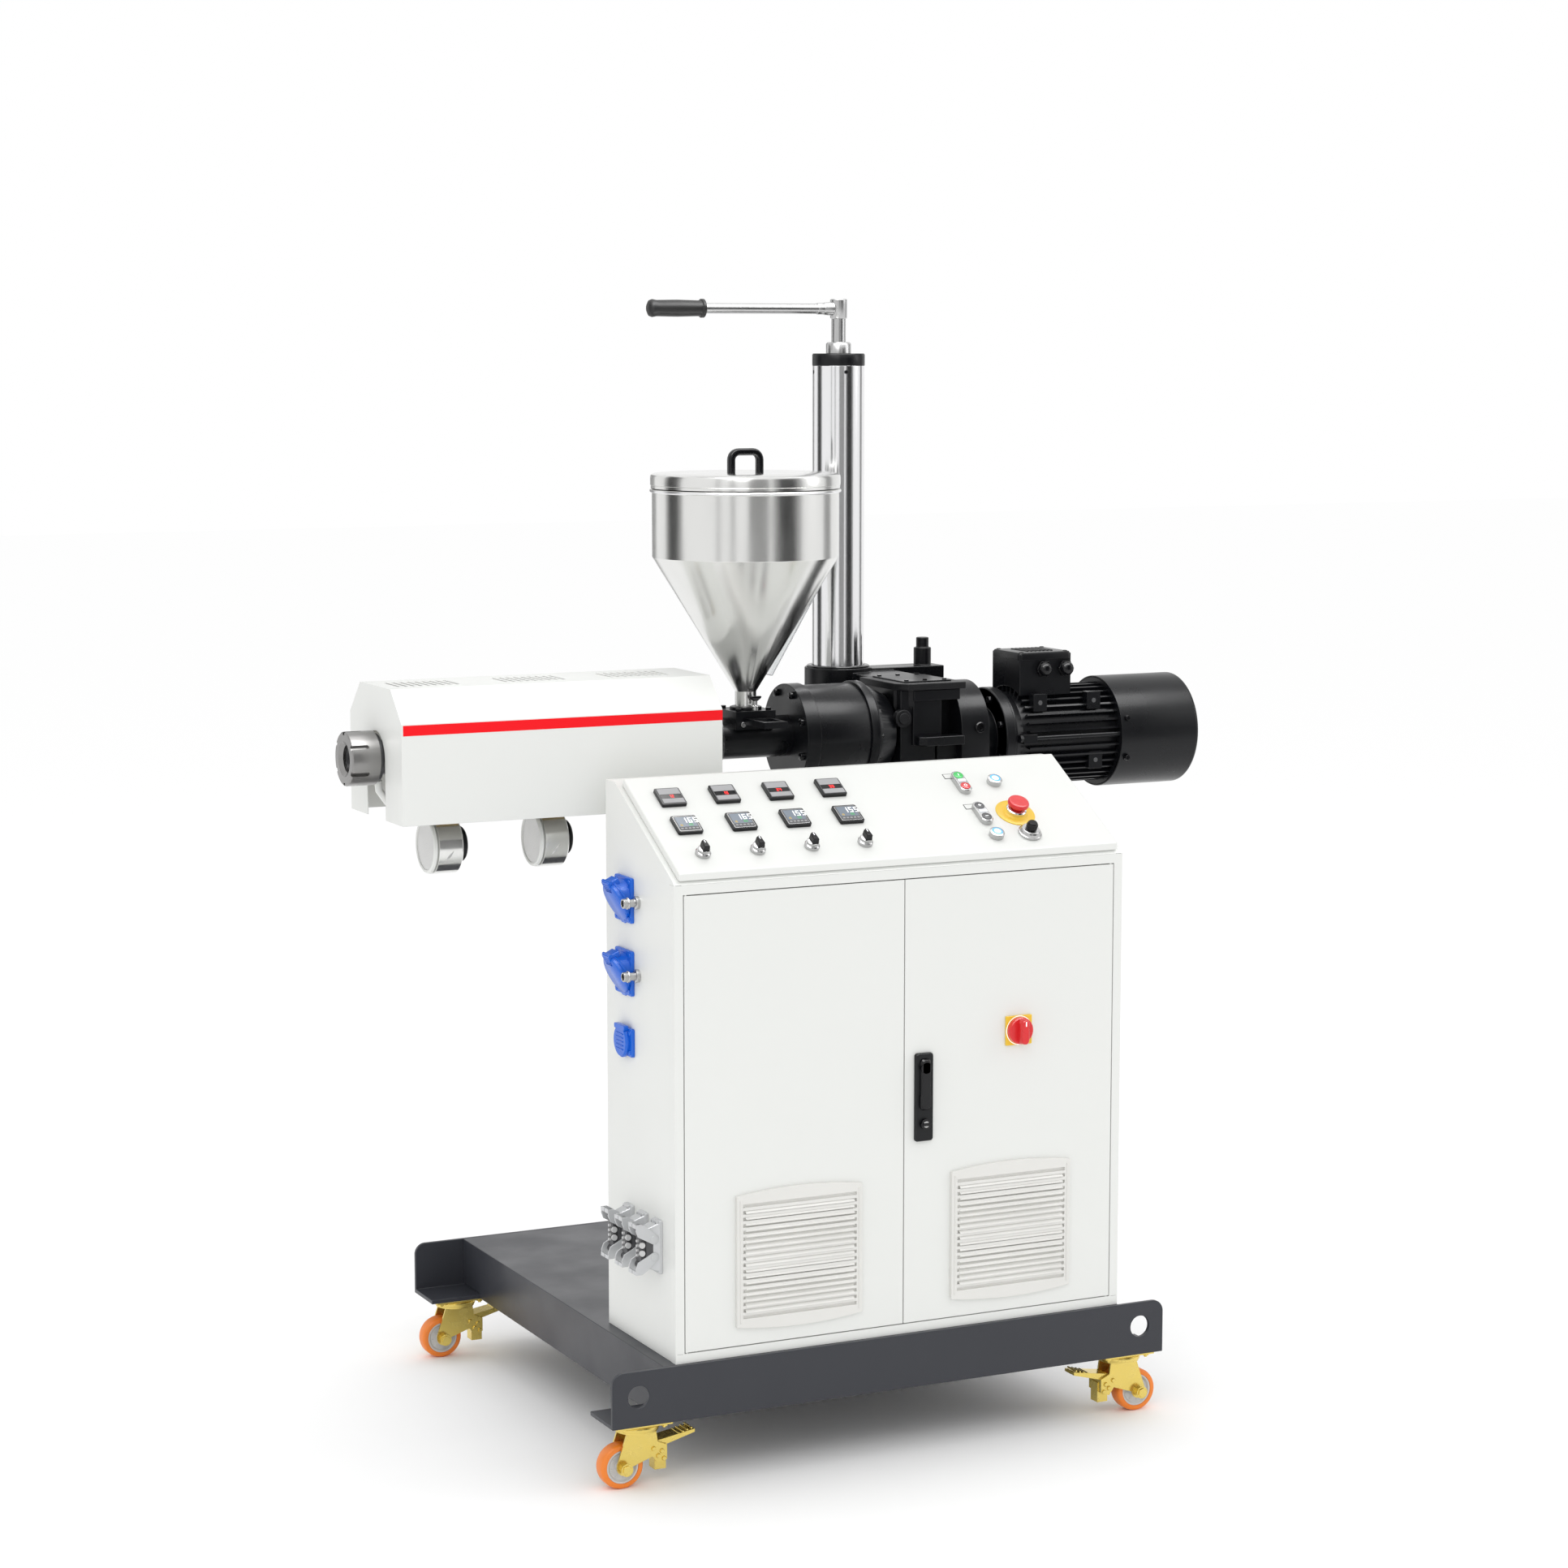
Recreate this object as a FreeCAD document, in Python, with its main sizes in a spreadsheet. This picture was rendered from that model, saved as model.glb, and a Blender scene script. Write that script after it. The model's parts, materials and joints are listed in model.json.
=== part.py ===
import FreeCAD, Part

import os
import re

import Sketcher

# A mobile plastic extruder: a barrel with its hopper, gearbox and motor on a column,
# and an electrical cabinet with a sloping console, all on a base with four casters.
# The parts are drawn in the machine's own directions: x from the left end of the base
# towards the motor, y from the front face of the base to the rear, z up from the floor.
# Every sub-part is then moved so that the origin is under the middle of the whole machine.

Vector = FreeCAD.Vector
Rotation = FreeCAD.Rotation

# Driving dimensions: name, size in millimetres (or degrees), meaning.
SIZES = [
    ("base_length", 1120, "front and rear base angles, end to end"),
    ("base_depth", 1000, "front face to rear face of the base"),
    ("caster_height", 120, "floor to the underside of the base angles"),
    ("angle_leg", 100, "leg of the base angles"),
    ("angle_wall", 8, "thickness of the base angles"),
    ("angle_corner", 22, "rounding of the upstanding legs' ends"),
    ("lift_hole_radius", 20, "holes in the front angle for lifting bars"),
    ("lift_hole_inset", 50, "lifting hole to the angle's end"),
    ("lift_hole_rise", 54, "lifting hole above the angle's underside"),
    ("deck_inset", 101, "left end of the base to the platform"),
    ("deck_length", 925, "platform along the machine"),
    ("deck_sheet", 4, "sheet thickness of the platform"),
    ("caster_inset", 66, "caster swivel to the end of the base"),
    ("caster_setback", 50, "caster swivel to the front or rear face"),
    ("caster_plate_length", 105, "caster top plate along the machine"),
    ("caster_plate_width", 85, "caster top plate across the machine"),
    ("caster_plate_sheet", 5, "thickness of the caster top plate"),
    ("caster_trail", 32, "swivel axis to wheel axle"),
    ("wheel_radius", 40, "tread of the caster wheels"),
    ("wheel_width", 30, "width of the caster wheels"),
    ("tread_edge", 5, "rounded edges of the tread across the wheel"),
    ("tread_drop", 4, "rounded edges of the tread towards the axle"),
    ("axle_radius", 5, "caster axles"),
    ("fork_sheet", 4, "caster fork legs"),
    ("fork_gap", 3, "wheel to fork leg"),
    ("fork_overlap", 6, "fork legs up the side of the swivel bearing"),
    ("fork_rear", 24, "swivel axis to the fork's edge above the wheel"),
    ("fork_front", 28, "swivel axis to the fork's edge at the bearing"),
    ("fork_brow", 32, "swivel axis to the root of the brake ear"),
    ("fork_ear", 50, "swivel axis to the end of the brake ear"),
    ("fork_ear_rise", 32, "top of the brake ear above the axle"),
    ("fork_ear_low", 6, "bottom of the brake ear above the axle"),
    ("fork_hollow", 14, "hollow edge of the fork above the axle"),
    ("fork_eye", 13.5, "eye of the fork round the axle"),
    ("axle_proud", 5, "axle beyond the fork legs"),
    ("brake_reach", 40, "swivel axis to the middle of the brake"),
    ("brake_bar", 20, "bar between the brake ears"),
    ("brake_bar_height", 26, "bar between the brake ears"),
    ("brake_bar_rise", 8, "underside of the brake bar above the axle"),
    ("shoe_length", 22, "brake shoe"),
    ("shoe_width", 24, "brake shoe"),
    ("shoe_height", 38, "brake shoe"),
    ("shoe_drop", 14, "foot of the brake shoe below the axle"),
    ("pedal_width", 34, "brake pedal"),
    ("pedal_sheet", 6, "brake pedal"),
    ("pedal_reach", 106, "swivel axis to the end of the pedal"),
    ("pedal_rise", 46, "underside of the pedal's end above the axle"),
    ("race_radius", 38, "swivel bearing of the casters"),
    ("race_height", 14, "height of the swivel bearing"),
    ("pin_clearance", 0.08, "radial clearance of pins and axles that turn"),
    ("swivel_clearance", 0.3, "gap between faces that turn on each other"),
    ("overrun", 1, "run of a cutting tool past the face it cuts, or of a solid into its neighbour"),
    ("seat", 0.01, "depth of touching faces into each other"),
    ("cabinet_inset", 125, "left end of the base to the cabinet"),
    ("cabinet_front", 9.5, "front face of the base to the cabinet doors"),
    ("cabinet_width", 900, "cabinet along the machine"),
    ("cabinet_depth", 298, "cabinet from doors to back panel"),
    ("cabinet_low", 848, "height of the cabinet's front"),
    ("cabinet_top_depth", 40, "flat top behind the console slope"),
    ("console_slope", 30, "degrees, slope of the console"),
    ("console_start", 7.8, "set-back and rise of the bevel under the console"),
    ("cabinet_sheet", 2.5, "sheet thickness of the cabinet"),
    ("frame_bar", 17, "visible width of the frame round the doors"),
    ("frame_depth", 20, "depth of the door frame and of the doors"),
    ("door_gap", 2, "gap round the doors"),
    ("door_return", 9, "folded rim of the doors"),
    ("hinge_set", 4, "hinge pin from the door's edge and face"),
    ("hinge_radius", 2.5, "hinge pins of the doors"),
    ("hinge_reach", 7, "hinge pins inside the door"),
    ("vent_width", 248, "ventilation grilles"),
    ("vent_height", 236, "ventilation grilles at their sides"),
    ("vent_bulge", 9, "rise of the curved top and bottom edges of a grille"),
    ("vent_depth", 7, "grilles stand proud of the doors"),
    ("vent_skin", 2, "sheet left behind the slots of a grille"),
    ("vent_rise", 25, "grille above the door's lower edge"),
    ("vent_inset", 97, "grille to the hinged edge of the left door"),
    ("vent_margin", 88, "grille to the hinged edge of the right door"),
    ("louvre_count", 18, "slots in a grille"),
    ("louvre_pitch", 11.8, "slot to slot"),
    ("louvre_slot", 6, "height of a slot"),
    ("louvre_inset", 12, "slot ends to the grille's sides"),
    ("handle_width", 36, "swing handle of the right door"),
    ("handle_height", 161, "swing handle of the right door"),
    ("handle_depth", 16, "swing handle of the right door"),
    ("handle_round", 5, "corners of the swing handle"),
    ("handle_inset", 19, "handle to the door's free edge"),
    ("handle_rise", 333, "handle above the door's lower edge"),
    ("switch_plate", 54, "square plate of the main switch"),
    ("switch_plate_depth", 5, "square plate of the main switch"),
    ("switch_inset", 232, "main switch centre to the door's free edge"),
    ("switch_rise", 519, "main switch centre above the door's lower edge"),
    ("switch_radius", 24.5, "main switch knob"),
    ("switch_disc", 9, "disc of the main switch knob"),
    ("switch_grip", 17, "grip of the main switch knob above its disc"),
    ("grip_inset", 2, "ends of the switch grip inside its disc"),
    ("grip_width", 15, "grip of the main switch knob"),
    ("lid_inset", 10, "console lid inside the cabinet's sides"),
    ("lid_length", 279, "console lid up its slope"),
    ("lid_thickness", 14.5, "console lid"),
    ("lid_lip", 13.3, "front edge of the console lid"),
    ("meter_side", 48, "square meters on the console"),
    ("meter_height", 7, "square meters above the lid"),
    ("meter_inset", 64.5, "first column of meters to the lid's left edge"),
    ("meter_pitch", 105.8, "column to column"),
    ("meter_upper_row", 211, "upper meters above the lid's fold"),
    ("meter_lower_row", 130, "lower meters above the lid's fold"),
    ("selector_row", 50, "selector knobs above the lid's fold"),
    ("selector_bezel_radius", 14, "bezels of the selector knobs"),
    ("selector_bezel_height", 8, "bezels of the selector knobs"),
    ("selector_radius", 11, "selector knobs"),
    ("selector_disc", 4, "round foot of a selector knob"),
    ("selector_grip", 13, "pointer of a selector knob above its foot"),
    ("selector_grip_width", 7, "pointer of a selector knob"),
    ("pair_column", 646, "button pairs and lower lamp button to the lid's left edge"),
    ("single_column", 716, "lamp button, stop button and speed knob to the left edge"),
    ("button_upper_row", 199.5, "upper button pair and lamp button"),
    ("button_middle_row", 106, "lower button pair and stop button"),
    ("button_lower_row", 44, "lower lamp button and speed knob"),
    ("pair_width", 24, "oblong button pair"),
    ("pair_length", 60, "oblong button pair"),
    ("pair_height", 12, "oblong button pair above the lid"),
    ("lamp_radius", 14, "round lamp buttons"),
    ("lamp_height", 12, "round lamp buttons above the lid"),
    ("stop_disc_radius", 37.5, "plate under the stop button"),
    ("stop_disc_height", 4, "plate under the stop button"),
    ("stop_collar_radius", 14, "collar round the stop button's stem"),
    ("stop_collar_height", 8, "collar above its plate"),
    ("stop_stem_radius", 9, "stem of the stop button"),
    ("stop_travel", 5, "stroke of the stop button"),
    ("stop_head_radius", 20, "mushroom head"),
    ("stop_head_height", 11, "mushroom head"),
    ("stop_head_round", 4, "edges of the stop button's head"),
    ("speed_base_radius", 22, "conical base of the speed knob"),
    ("speed_base_height", 12, "conical base of the speed knob"),
    ("speed_base_taper", 6, "radius lost up the speed control's base"),
    ("speed_cap_radius", 10, "speed knob"),
    ("speed_cap_height", 14, "speed knob"),
    ("socket_width", 74, "mains sockets on the cabinet's side"),
    ("socket_height", 81, "mains sockets on the cabinet's side"),
    ("socket_plate", 6, "flange of a mains socket"),
    ("socket_radius", 27, "body of a mains socket"),
    ("socket_reach", 42, "mains sockets stand out from the side"),
    ("socket_setback", 209, "sockets' centres behind the doors' face"),
    ("socket_first_rise", 797, "first socket above the platform"),
    ("socket_pitch", 131, "socket to socket"),
    ("plug_socket_side", 51, "small round mains socket's flange"),
    ("plug_socket_rim", 3, "flat rim of the plug socket"),
    ("plug_socket_reach", 8, "plug socket in front of its flange"),
    ("plug_socket_rise", 541, "small mains socket above the platform"),
    ("signal_radius", 12, "round signal connectors"),
    ("signal_reach", 30, "round signal connectors stand out"),
    ("signal_setback", 155, "signal connectors behind the doors' face"),
    ("heavy_width", 34, "heavy connectors"),
    ("heavy_height", 96, "heavy connectors"),
    ("heavy_reach", 55, "heavy connectors stand out from the side"),
    ("heavy_pitch", 62, "heavy connector to heavy connector"),
    ("heavy_setback", 70, "first heavy connector behind the doors' face"),
    ("heavy_rise", 150, "heavy connectors above the platform"),
    ("axis_height", 1258, "screw axis above the floor"),
    ("axis_setback", 500, "screw axis behind the front face"),
    ("nozzle_reach", 300, "nozzle face beyond the base's left end"),
    ("nozzle_radius", 49, "nozzle nut"),
    ("nozzle_length", 53, "nozzle nut"),
    ("nozzle_bore", 25, "nozzle nut bore"),
    ("nozzle_taper", 7, "chamfer of the nozzle bore"),
    ("nozzle_edge", 2, "rounded front edge of the nozzle nut"),
    ("nozzle_seat_step", 5, "seat of the nozzle nut, smaller in radius than the nut"),
    ("nozzle_seat_length", 8, "seat of the nozzle nut"),
    ("nozzle_slots", 6, "wrench slots round the nozzle nut"),
    ("nozzle_slot_length", 29, "wrench slots, from the front face"),
    ("nozzle_slot_width", 8, "wrench slots"),
    ("nozzle_slot_depth", 6, "wrench slots"),
    ("shroud_start", 60, "nozzle face to shroud"),
    ("shroud_length", 622, "shroud over the barrel"),
    ("shroud_width", 275, "shroud across the machine"),
    ("shroud_below", 109, "shroud below the screw axis"),
    ("shroud_side", 72, "top of the shroud's sides above the screw axis"),
    ("shroud_above", 129.5, "shroud above the screw axis"),
    ("shroud_chamfer", 56, "shroud's sloping shoulders across the machine"),
    ("shroud_sheet", 2, "shroud sheet"),
    ("shroud_slot", 97, "slot for the barrel in the shroud's end"),
    ("cooling_first", 30, "shroud's end to the first cooling slot"),
    ("cooling_slots", 9, "slots in one group on top of the shroud"),
    ("cooling_slot_width", 6, "cooling slots"),
    ("cooling_slot_pitch", 14, "cooling slot to cooling slot"),
    ("barrel_radius", 32, "barrel"),
    ("barrel_flange_radius", 59, "flange between barrel and feed section"),
    ("barrel_flange_length", 42, "flange between barrel and feed section"),
    ("heater_radius", 46, "heater bands"),
    ("heater_length", 120, "heater bands"),
    ("heater_first", 70, "shroud's end to the first heater band"),
    ("zone_pitch", 206, "heating zone to heating zone"),
    ("blower_radius", 52, "cooling blowers"),
    ("blower_length", 57, "cooling blowers"),
    ("blower_drop", 166, "blower centre below the screw axis"),
    ("blower_first", 90.5, "shroud's end to the first blower"),
    ("blower_hub_radius", 32, "motor boss of a blower"),
    ("blower_hub_length", 16, "motor boss of a blower"),
    ("duct_width", 44, "air duct from blower to heater band"),
    ("throat_radius", 39, "feed section"),
    ("throat_bore", 18, "feed opening"),
    ("hopper_offset", 112, "shroud's end to the hopper axis"),
    ("feed_block_length", 82, "block under the hopper"),
    ("feed_block_width", 90, "block under the hopper"),
    ("feed_block_top", 42, "top of the block above the screw axis"),
    ("feed_block_bottom", 20, "underside of the block above the screw axis"),
    ("gate_width", 48, "slide gate"),
    ("gate_thickness", 12, "slide gate"),
    ("gate_reach", 133, "slide gate's end in front of the screw axis"),
    ("gate_tail", 30, "slide gate's end behind the screw axis"),
    ("gate_clearance", 0.3, "gap round the slide gate"),
    ("gate_stroke", 80, "slide gate pushed in to open"),
    ("gate_lip", 14, "bar across the slide gate's end"),
    ("feed_depth", 5, "feed opening below the screw axis"),
    ("flange_plate", 12, "plate under the hopper's neck"),
    ("neck_radius", 20, "hopper neck"),
    ("neck_length", 34, "hopper neck"),
    ("cone_height", 253, "hopper cone"),
    ("hopper_radius", 175, "hopper"),
    ("hopper_height", 128, "straight part of the hopper"),
    ("hopper_sheet", 2, "hopper sheet"),
    ("hopper_rim", 4, "rolled rim of the hopper"),
    ("hopper_lid_radius", 178, "hopper lid"),
    ("hopper_lid_height", 27, "hopper lid"),
    ("hopper_lid_round", 3, "edge of the hopper lid"),
    ("lid_handle_width", 73, "bow handle on the hopper lid"),
    ("lid_handle_height", 47, "bow handle on the hopper lid"),
    ("lid_handle_bar", 16, "legs of the bow handle"),
    ("lid_handle_top", 11.2, "top of the bow handle"),
    ("lid_handle_round", 12, "corners of the bow handle"),
    ("gear_gap", 42, "feed block to the gear flange"),
    ("gear_flange_radius", 98, "gear flange"),
    ("gear_flange_length", 29, "gear flange"),
    ("gear_drum_radius", 94, "gear drum"),
    ("gear_drum_length", 127, "gear drum and its ring"),
    ("gear_taper", 45, "taper behind the gear drum"),
    ("gear_taper_drop", 22, "radius lost over the taper"),
    ("gear_box_length", 128, "gear housing"),
    ("gear_box_width", 170, "gear housing"),
    ("gear_box_height", 205, "gear housing"),
    ("gear_box_drop", 110, "underside of the gear housing below the screw axis"),
    ("input_flange_radius", 90, "large round flange of the gear housing"),
    ("input_flange_length", 64, "large round flange of the gear housing"),
    ("motor_drop", 24, "motor axis below the screw axis"),
    ("adapter_gap", 35, "neck between gear housing and motor flange"),
    ("adapter_neck_radius", 60, "neck between gear housing and motor flange"),
    ("adapter_radius", 95, "motor flange"),
    ("adapter_length", 26, "motor flange"),
    ("motor_cone", 25, "cone between motor flange and fins"),
    ("motor_length", 199, "finned part of the motor"),
    ("motor_radius", 97, "motor over its fins"),
    ("motor_core_radius", 86, "motor between its fins"),
    ("fin_count", 36, "fins round the motor"),
    ("fin_width", 4, "fins"),
    ("fin_root", 3, "fins let into the motor"),
    ("end_shield_length", 10, "motor end shield inside the fan cover"),
    ("fan_cover_radius", 109, "fan cover"),
    ("fan_cover_length", 178, "fan cover"),
    ("fan_cover_sheet", 3, "fan cover sheet"),
    ("fan_cover_round", 8, "rounding of the fan cover's end"),
    ("terminal_length", 115, "terminal box along the motor"),
    ("terminal_width", 108, "terminal box across the motor"),
    ("terminal_height", 86, "terminal box, underside to top"),
    ("terminal_start", 24, "motor flange to the terminal box"),
    ("terminal_sink", 20, "underside of the terminal box below the fins' top"),
    ("column_radius", 50.8, "column"),
    ("column_wall", 6, "column tube wall"),
    ("column_x", 798, "column axis from the base's left end"),
    ("column_setback", 717, "column axis behind the front face"),
    ("column_height", 1731, "column tube above the platform"),
    ("foot_radius", 95, "flange that carries the column"),
    ("foot_height", 20, "flange that carries the column"),
    ("cap_height", 23.5, "column cap"),
    ("bearing_radius", 24.5, "bearing nut on the cap"),
    ("bearing_height", 26, "bearing nut on the cap"),
    ("spindle_radius", 15, "spindle end above the bearing"),
    ("spindle_reach", 41, "spindle end above the bearing"),
    ("collar_radius", 66, "collar of the carriage round the column"),
    ("collar_height", 238, "collar of the carriage"),
    ("collar_top", 104, "top of the collar above the screw axis"),
    ("carriage_clearance", 0.1, "carriage bore round the column"),
    ("saddle_reach", 222, "saddle's end beyond the column, along the machine"),
    ("saddle_thickness", 60, "saddle's end, across the machine"),
    ("saddle_height", 110, "saddle's end"),
    ("saddle_step", 4, "saddle's end below the collar's top"),
    ("clamp_pin_radius", 17.4, "upright clamping pin on the saddle"),
    ("clamp_pin_rise", 35, "clamping pin above the saddle"),
    ("clamp_hex_radius", 12.5, "upper end of the clamping pin"),
    ("clamp_hex_rise", 20, "upper end of the clamping pin"),
    ("clamp_pin_offset", 188.5, "clamping pin to the column"),
    ("arm_length", 406, "crank arm, axis to the grip's end"),
    ("arm_radius", 12, "crank arm tube"),
    ("crank_head_radius", 19, "head of the crank"),
    ("crank_head_height", 38, "head of the crank"),
    ("crank_grip_radius", 18, "rubber grip"),
    ("crank_grip_length", 118, "rubber grip"),
]

# Worked-out places: name, formula of the sizes above.
PLACES = [
    ("deck_top", "caster_height + angle_leg"),
    ("plate_underside", "caster_height - caster_plate_sheet"),
    ("door_bottom", "deck_top + frame_bar + door_gap"),
    ("door_top", "deck_top + cabinet_low - frame_bar - door_gap"),
    ("door_tall", "door_top - door_bottom"),
    ("door_wide", "(cabinet_width - 2 * frame_bar - 3 * door_gap) / 2"),
    ("left_door", "cabinet_inset + frame_bar + door_gap"),
    ("right_door", "left_door + door_wide + door_gap"),
    ("cabinet_back", "cabinet_front + cabinet_depth"),
    ("slope_y", "cabinet_front + console_start"),
    ("slope_z", "deck_top + cabinet_low + console_start"),
    ("flat_y", "cabinet_back - cabinet_top_depth"),
    ("cabinet_top", "slope_z + (flat_y - slope_y) * tan(console_slope)"),
    ("sheet_drop", "cabinet_sheet / cos(console_slope)"),
    ("frame_back", "cabinet_front + frame_depth"),
    ("lid_rise", "lid_thickness / cos(console_slope)"),
    ("fold_z", "slope_z + lid_rise + (cabinet_front - slope_y) * tan(console_slope)"),
    ("shroud_x", "shroud_start - nozzle_reach"),
    ("shroud_end", "shroud_x + shroud_length"),
    ("side_fold", "tan(atan(shroud_chamfer / (shroud_above - shroud_side)) / 2)"),
    ("top_fold", "tan(atan((shroud_above - shroud_side) / shroud_chamfer) / 2)"),
    ("flange_end", "shroud_end + barrel_flange_length"),
    ("hopper_x", "shroud_end + hopper_offset"),
    ("block_x", "hopper_x - feed_block_length / 2"),
    ("gear_x", "block_x + feed_block_length + gear_gap"),
    ("drum_x", "gear_x + gear_flange_length"),
    ("taper_x", "drum_x + gear_drum_length"),
    ("box_x", "taper_x + gear_taper"),
    ("input_x", "box_x + gear_box_length"),
    ("input_end", "input_x + input_flange_length"),
    ("adapter_x", "input_end + adapter_gap"),
    ("motor_x", "adapter_x + adapter_length"),
    ("fin_x", "motor_x + motor_cone"),
    ("fan_x", "fin_x + motor_length"),
    ("machine_end", "fan_x + fan_cover_length"),
    ("motor_height", "axis_height - motor_drop"),
    ("gear_box_top", "axis_height - gear_box_drop + gear_box_height"),
    ("gate_z", "axis_height + feed_block_top - gate_thickness - 2 * gate_clearance"),
    ("neck_z", "axis_height + feed_block_top + flange_plate"),
    ("cone_z", "neck_z + neck_length"),
    ("cylinder_z", "cone_z + cone_height"),
    ("rim_z", "cylinder_z + hopper_height"),
    ("column_top", "deck_top + column_height"),
    ("bearing_z", "column_top + cap_height"),
    ("spindle_z", "bearing_z + bearing_height"),
    ("crank_z", "spindle_z + spindle_reach"),
    ("front_reach", "switch_plate_depth + swivel_clearance + switch_disc + switch_grip - cabinet_front"),
    ("centre_x", "(machine_end - nozzle_reach) / 2"),
    ("centre_y", "(base_depth - front_reach) / 2"),
]

doc = FreeCAD.newDocument("mobile_extruder")


def fill_sheet(name, rows, first_mark):
    """Puts one named value a row into a sheet."""
    sheet = doc.addObject("Spreadsheet::Sheet", name)
    for row, (alias, content, *meaning) in enumerate(rows, start=1):
        sheet.set(f"A{row}", alias)
        sheet.set(f"B{row}", first_mark + str(content))
        sheet.setAlias(f"B{row}", alias)
        sheet.set(f"C{row}", meaning[0] if meaning else "")
    return sheet


SIZE_NAMES = {row[0] for row in SIZES}
PLACE_NAMES = {row[0] for row in PLACES}


def bound(formula):
    """The formula with each of its names pointed at its cell."""
    def cell(match):
        word = match.group(0)
        if word in SIZE_NAMES:
            return "sizes." + word
        return "places." + word if word in PLACE_NAMES else word
    return re.sub(r"[a-z_]+", cell, str(formula))


sizes = fill_sheet("sizes", SIZES, "")
doc.recompute()
places = fill_sheet("places", [(name, bound(formula)) for name, formula in PLACES], "=")
doc.recompute()


def number(formula):
    """The present value of a formula."""
    found = sizes.evalExpression(bound(formula))
    return float(getattr(found, "Value", found))


# ---- building blocks -------------------------------------------------------------

UPRIGHT = Rotation()
ALONG_X = Rotation(Vector(0, 1, 0), 90)
ALONG_Y = Rotation(Vector(1, 0, 0), -90)

sub_parts = []


def put(piece, x, y, z, turn=UPRIGHT):
    """Places a piece at three formulas."""
    piece.Placement = FreeCAD.Placement(Vector(), turn)
    for axis, formula in zip("xyz", (x, y, z)):
        piece.setExpression("Placement.Base." + axis, bound(formula))
    return piece


def block(length, width, height, x, y, z):
    """A box from its lowest corner."""
    piece = doc.addObject("Part::Box", "block")
    for side, formula in zip(("Length", "Width", "Height"), (length, width, height)):
        piece.setExpression(side, bound(formula))
    return put(piece, x, y, z)


def rod(radius, length, x, y, z, turn=UPRIGHT):
    """A cylinder from the middle of its first end."""
    piece = doc.addObject("Part::Cylinder", "rod")
    piece.setExpression("Radius", bound(radius))
    piece.setExpression("Height", bound(length))
    return put(piece, x, y, z, turn)


def cone(first, last, length, x, y, z, turn=UPRIGHT):
    """A cone frustum from the middle of its first end."""
    piece = doc.addObject("Part::Cone", "cone")
    piece.setExpression("Radius1", bound(first))
    piece.setExpression("Radius2", bound(last))
    piece.setExpression("Height", bound(length))
    return put(piece, x, y, z, turn)


def join(*pieces):
    """One solid of pieces that meet."""
    whole = doc.addObject("Part::MultiFuse", "join")
    whole.Shapes = list(pieces)
    whole.Refine = True
    return whole


def group(*pieces):
    """Several solids handled as one shape."""
    whole = doc.addObject("Part::Compound", "group")
    whole.Links = list(pieces)
    return whole


def cut(piece, *tools):
    """The piece less the tools."""
    rest = doc.addObject("Part::Cut", "cut")
    rest.Base = piece
    rest.Tool = tools[0] if len(tools) == 1 else group(*tools)
    return rest


def rounded(piece, radius, chosen):
    """The piece with the chosen edges rounded."""
    doc.recompute()
    smooth = doc.addObject("Part::Fillet", "rounded")
    smooth.Base = piece
    size = number(radius)
    smooth.Edges = [
        (index, size, size) for index, edge in enumerate(piece.Shape.Edges, start=1) if chosen(edge)
    ]
    return smooth


def runs_along(direction):
    """Picks straight edges that lie along a direction."""
    def chosen(edge):
        if not isinstance(edge.Curve, Part.Line):
            return False
        return abs(abs(edge.tangentAt(edge.FirstParameter).dot(direction)) - 1) < 1e-6
    return chosen


def outline(body, plane, corners):
    """A closed sketch through corners given as pairs of formulas."""
    sketch = body.newObject("Sketcher::SketchObject", "outline")
    support = next(item for item in body.Origin.OriginFeatures if item.Role == plane)
    sketch.AttachmentSupport = [(support, "")]
    sketch.MapMode = "FlatFace"
    points = [Vector(number(across), number(up), 0) for across, up in corners]
    for index, start in enumerate(points):
        end = points[(index + 1) % len(points)]
        sketch.addGeometry(Part.LineSegment(start, end), False)
    for index in range(len(points)):
        follower = (index + 1) % len(points)
        sketch.addConstraint(Sketcher.Constraint("Coincident", index, 2, follower, 1))
    for index, (across, up) in enumerate(corners):
        for kind, formula in (("DistanceX", across), ("DistanceY", up)):
            rule = Sketcher.Constraint(kind, -1, 1, index, 1, number(formula))
            place = sketch.addConstraint(rule)
            sketch.setExpression(f"Constraints[{place}]", bound(formula))
    return sketch


def extruded(corners, length, x, y="0", z="0"):
    """A body with a side-view outline (y, z), running along x."""
    body = doc.addObject("PartDesign::Body", "profile")
    pad = body.newObject("PartDesign::Pad", "pad")
    pad.Profile = outline(body, "YZ_Plane", corners)
    pad.setExpression("Length", bound(length))
    return put(body, x, y, z)


def plate(corners, thickness, x, y, z):
    """A body with a front-view outline (x, z), running back along y."""
    body = doc.addObject("PartDesign::Body", "plate")
    pad = body.newObject("PartDesign::Pad", "pad")
    pad.Profile = outline(body, "XZ_Plane", corners)
    pad.Reversed = True
    pad.setExpression("Length", bound(thickness))
    return put(body, x, y, z)


def turned(corners, x, y, z, turn=UPRIGHT):
    """A body turned about its own upright axis from an outline (radius, height)."""
    body = doc.addObject("PartDesign::Body", "turned")
    spin = body.newObject("PartDesign::Revolution", "spin")
    sketch = outline(body, "XZ_Plane", corners)
    spin.Profile = sketch
    spin.ReferenceAxis = (sketch, ["V_Axis"])
    spin.Angle = 360
    return put(body, x, y, z, turn)


def sub_part(label, *pieces):
    """A named sub-part, moved from the machine's corner to the origin under its middle."""
    whole = doc.addObject("Part::Compound", label)
    whole.Label = label
    whole.Links = list(pieces)
    put(whole, "-centre_x", "-centre_y", "0")
    sub_parts.append(whole)
    return whole


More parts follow.
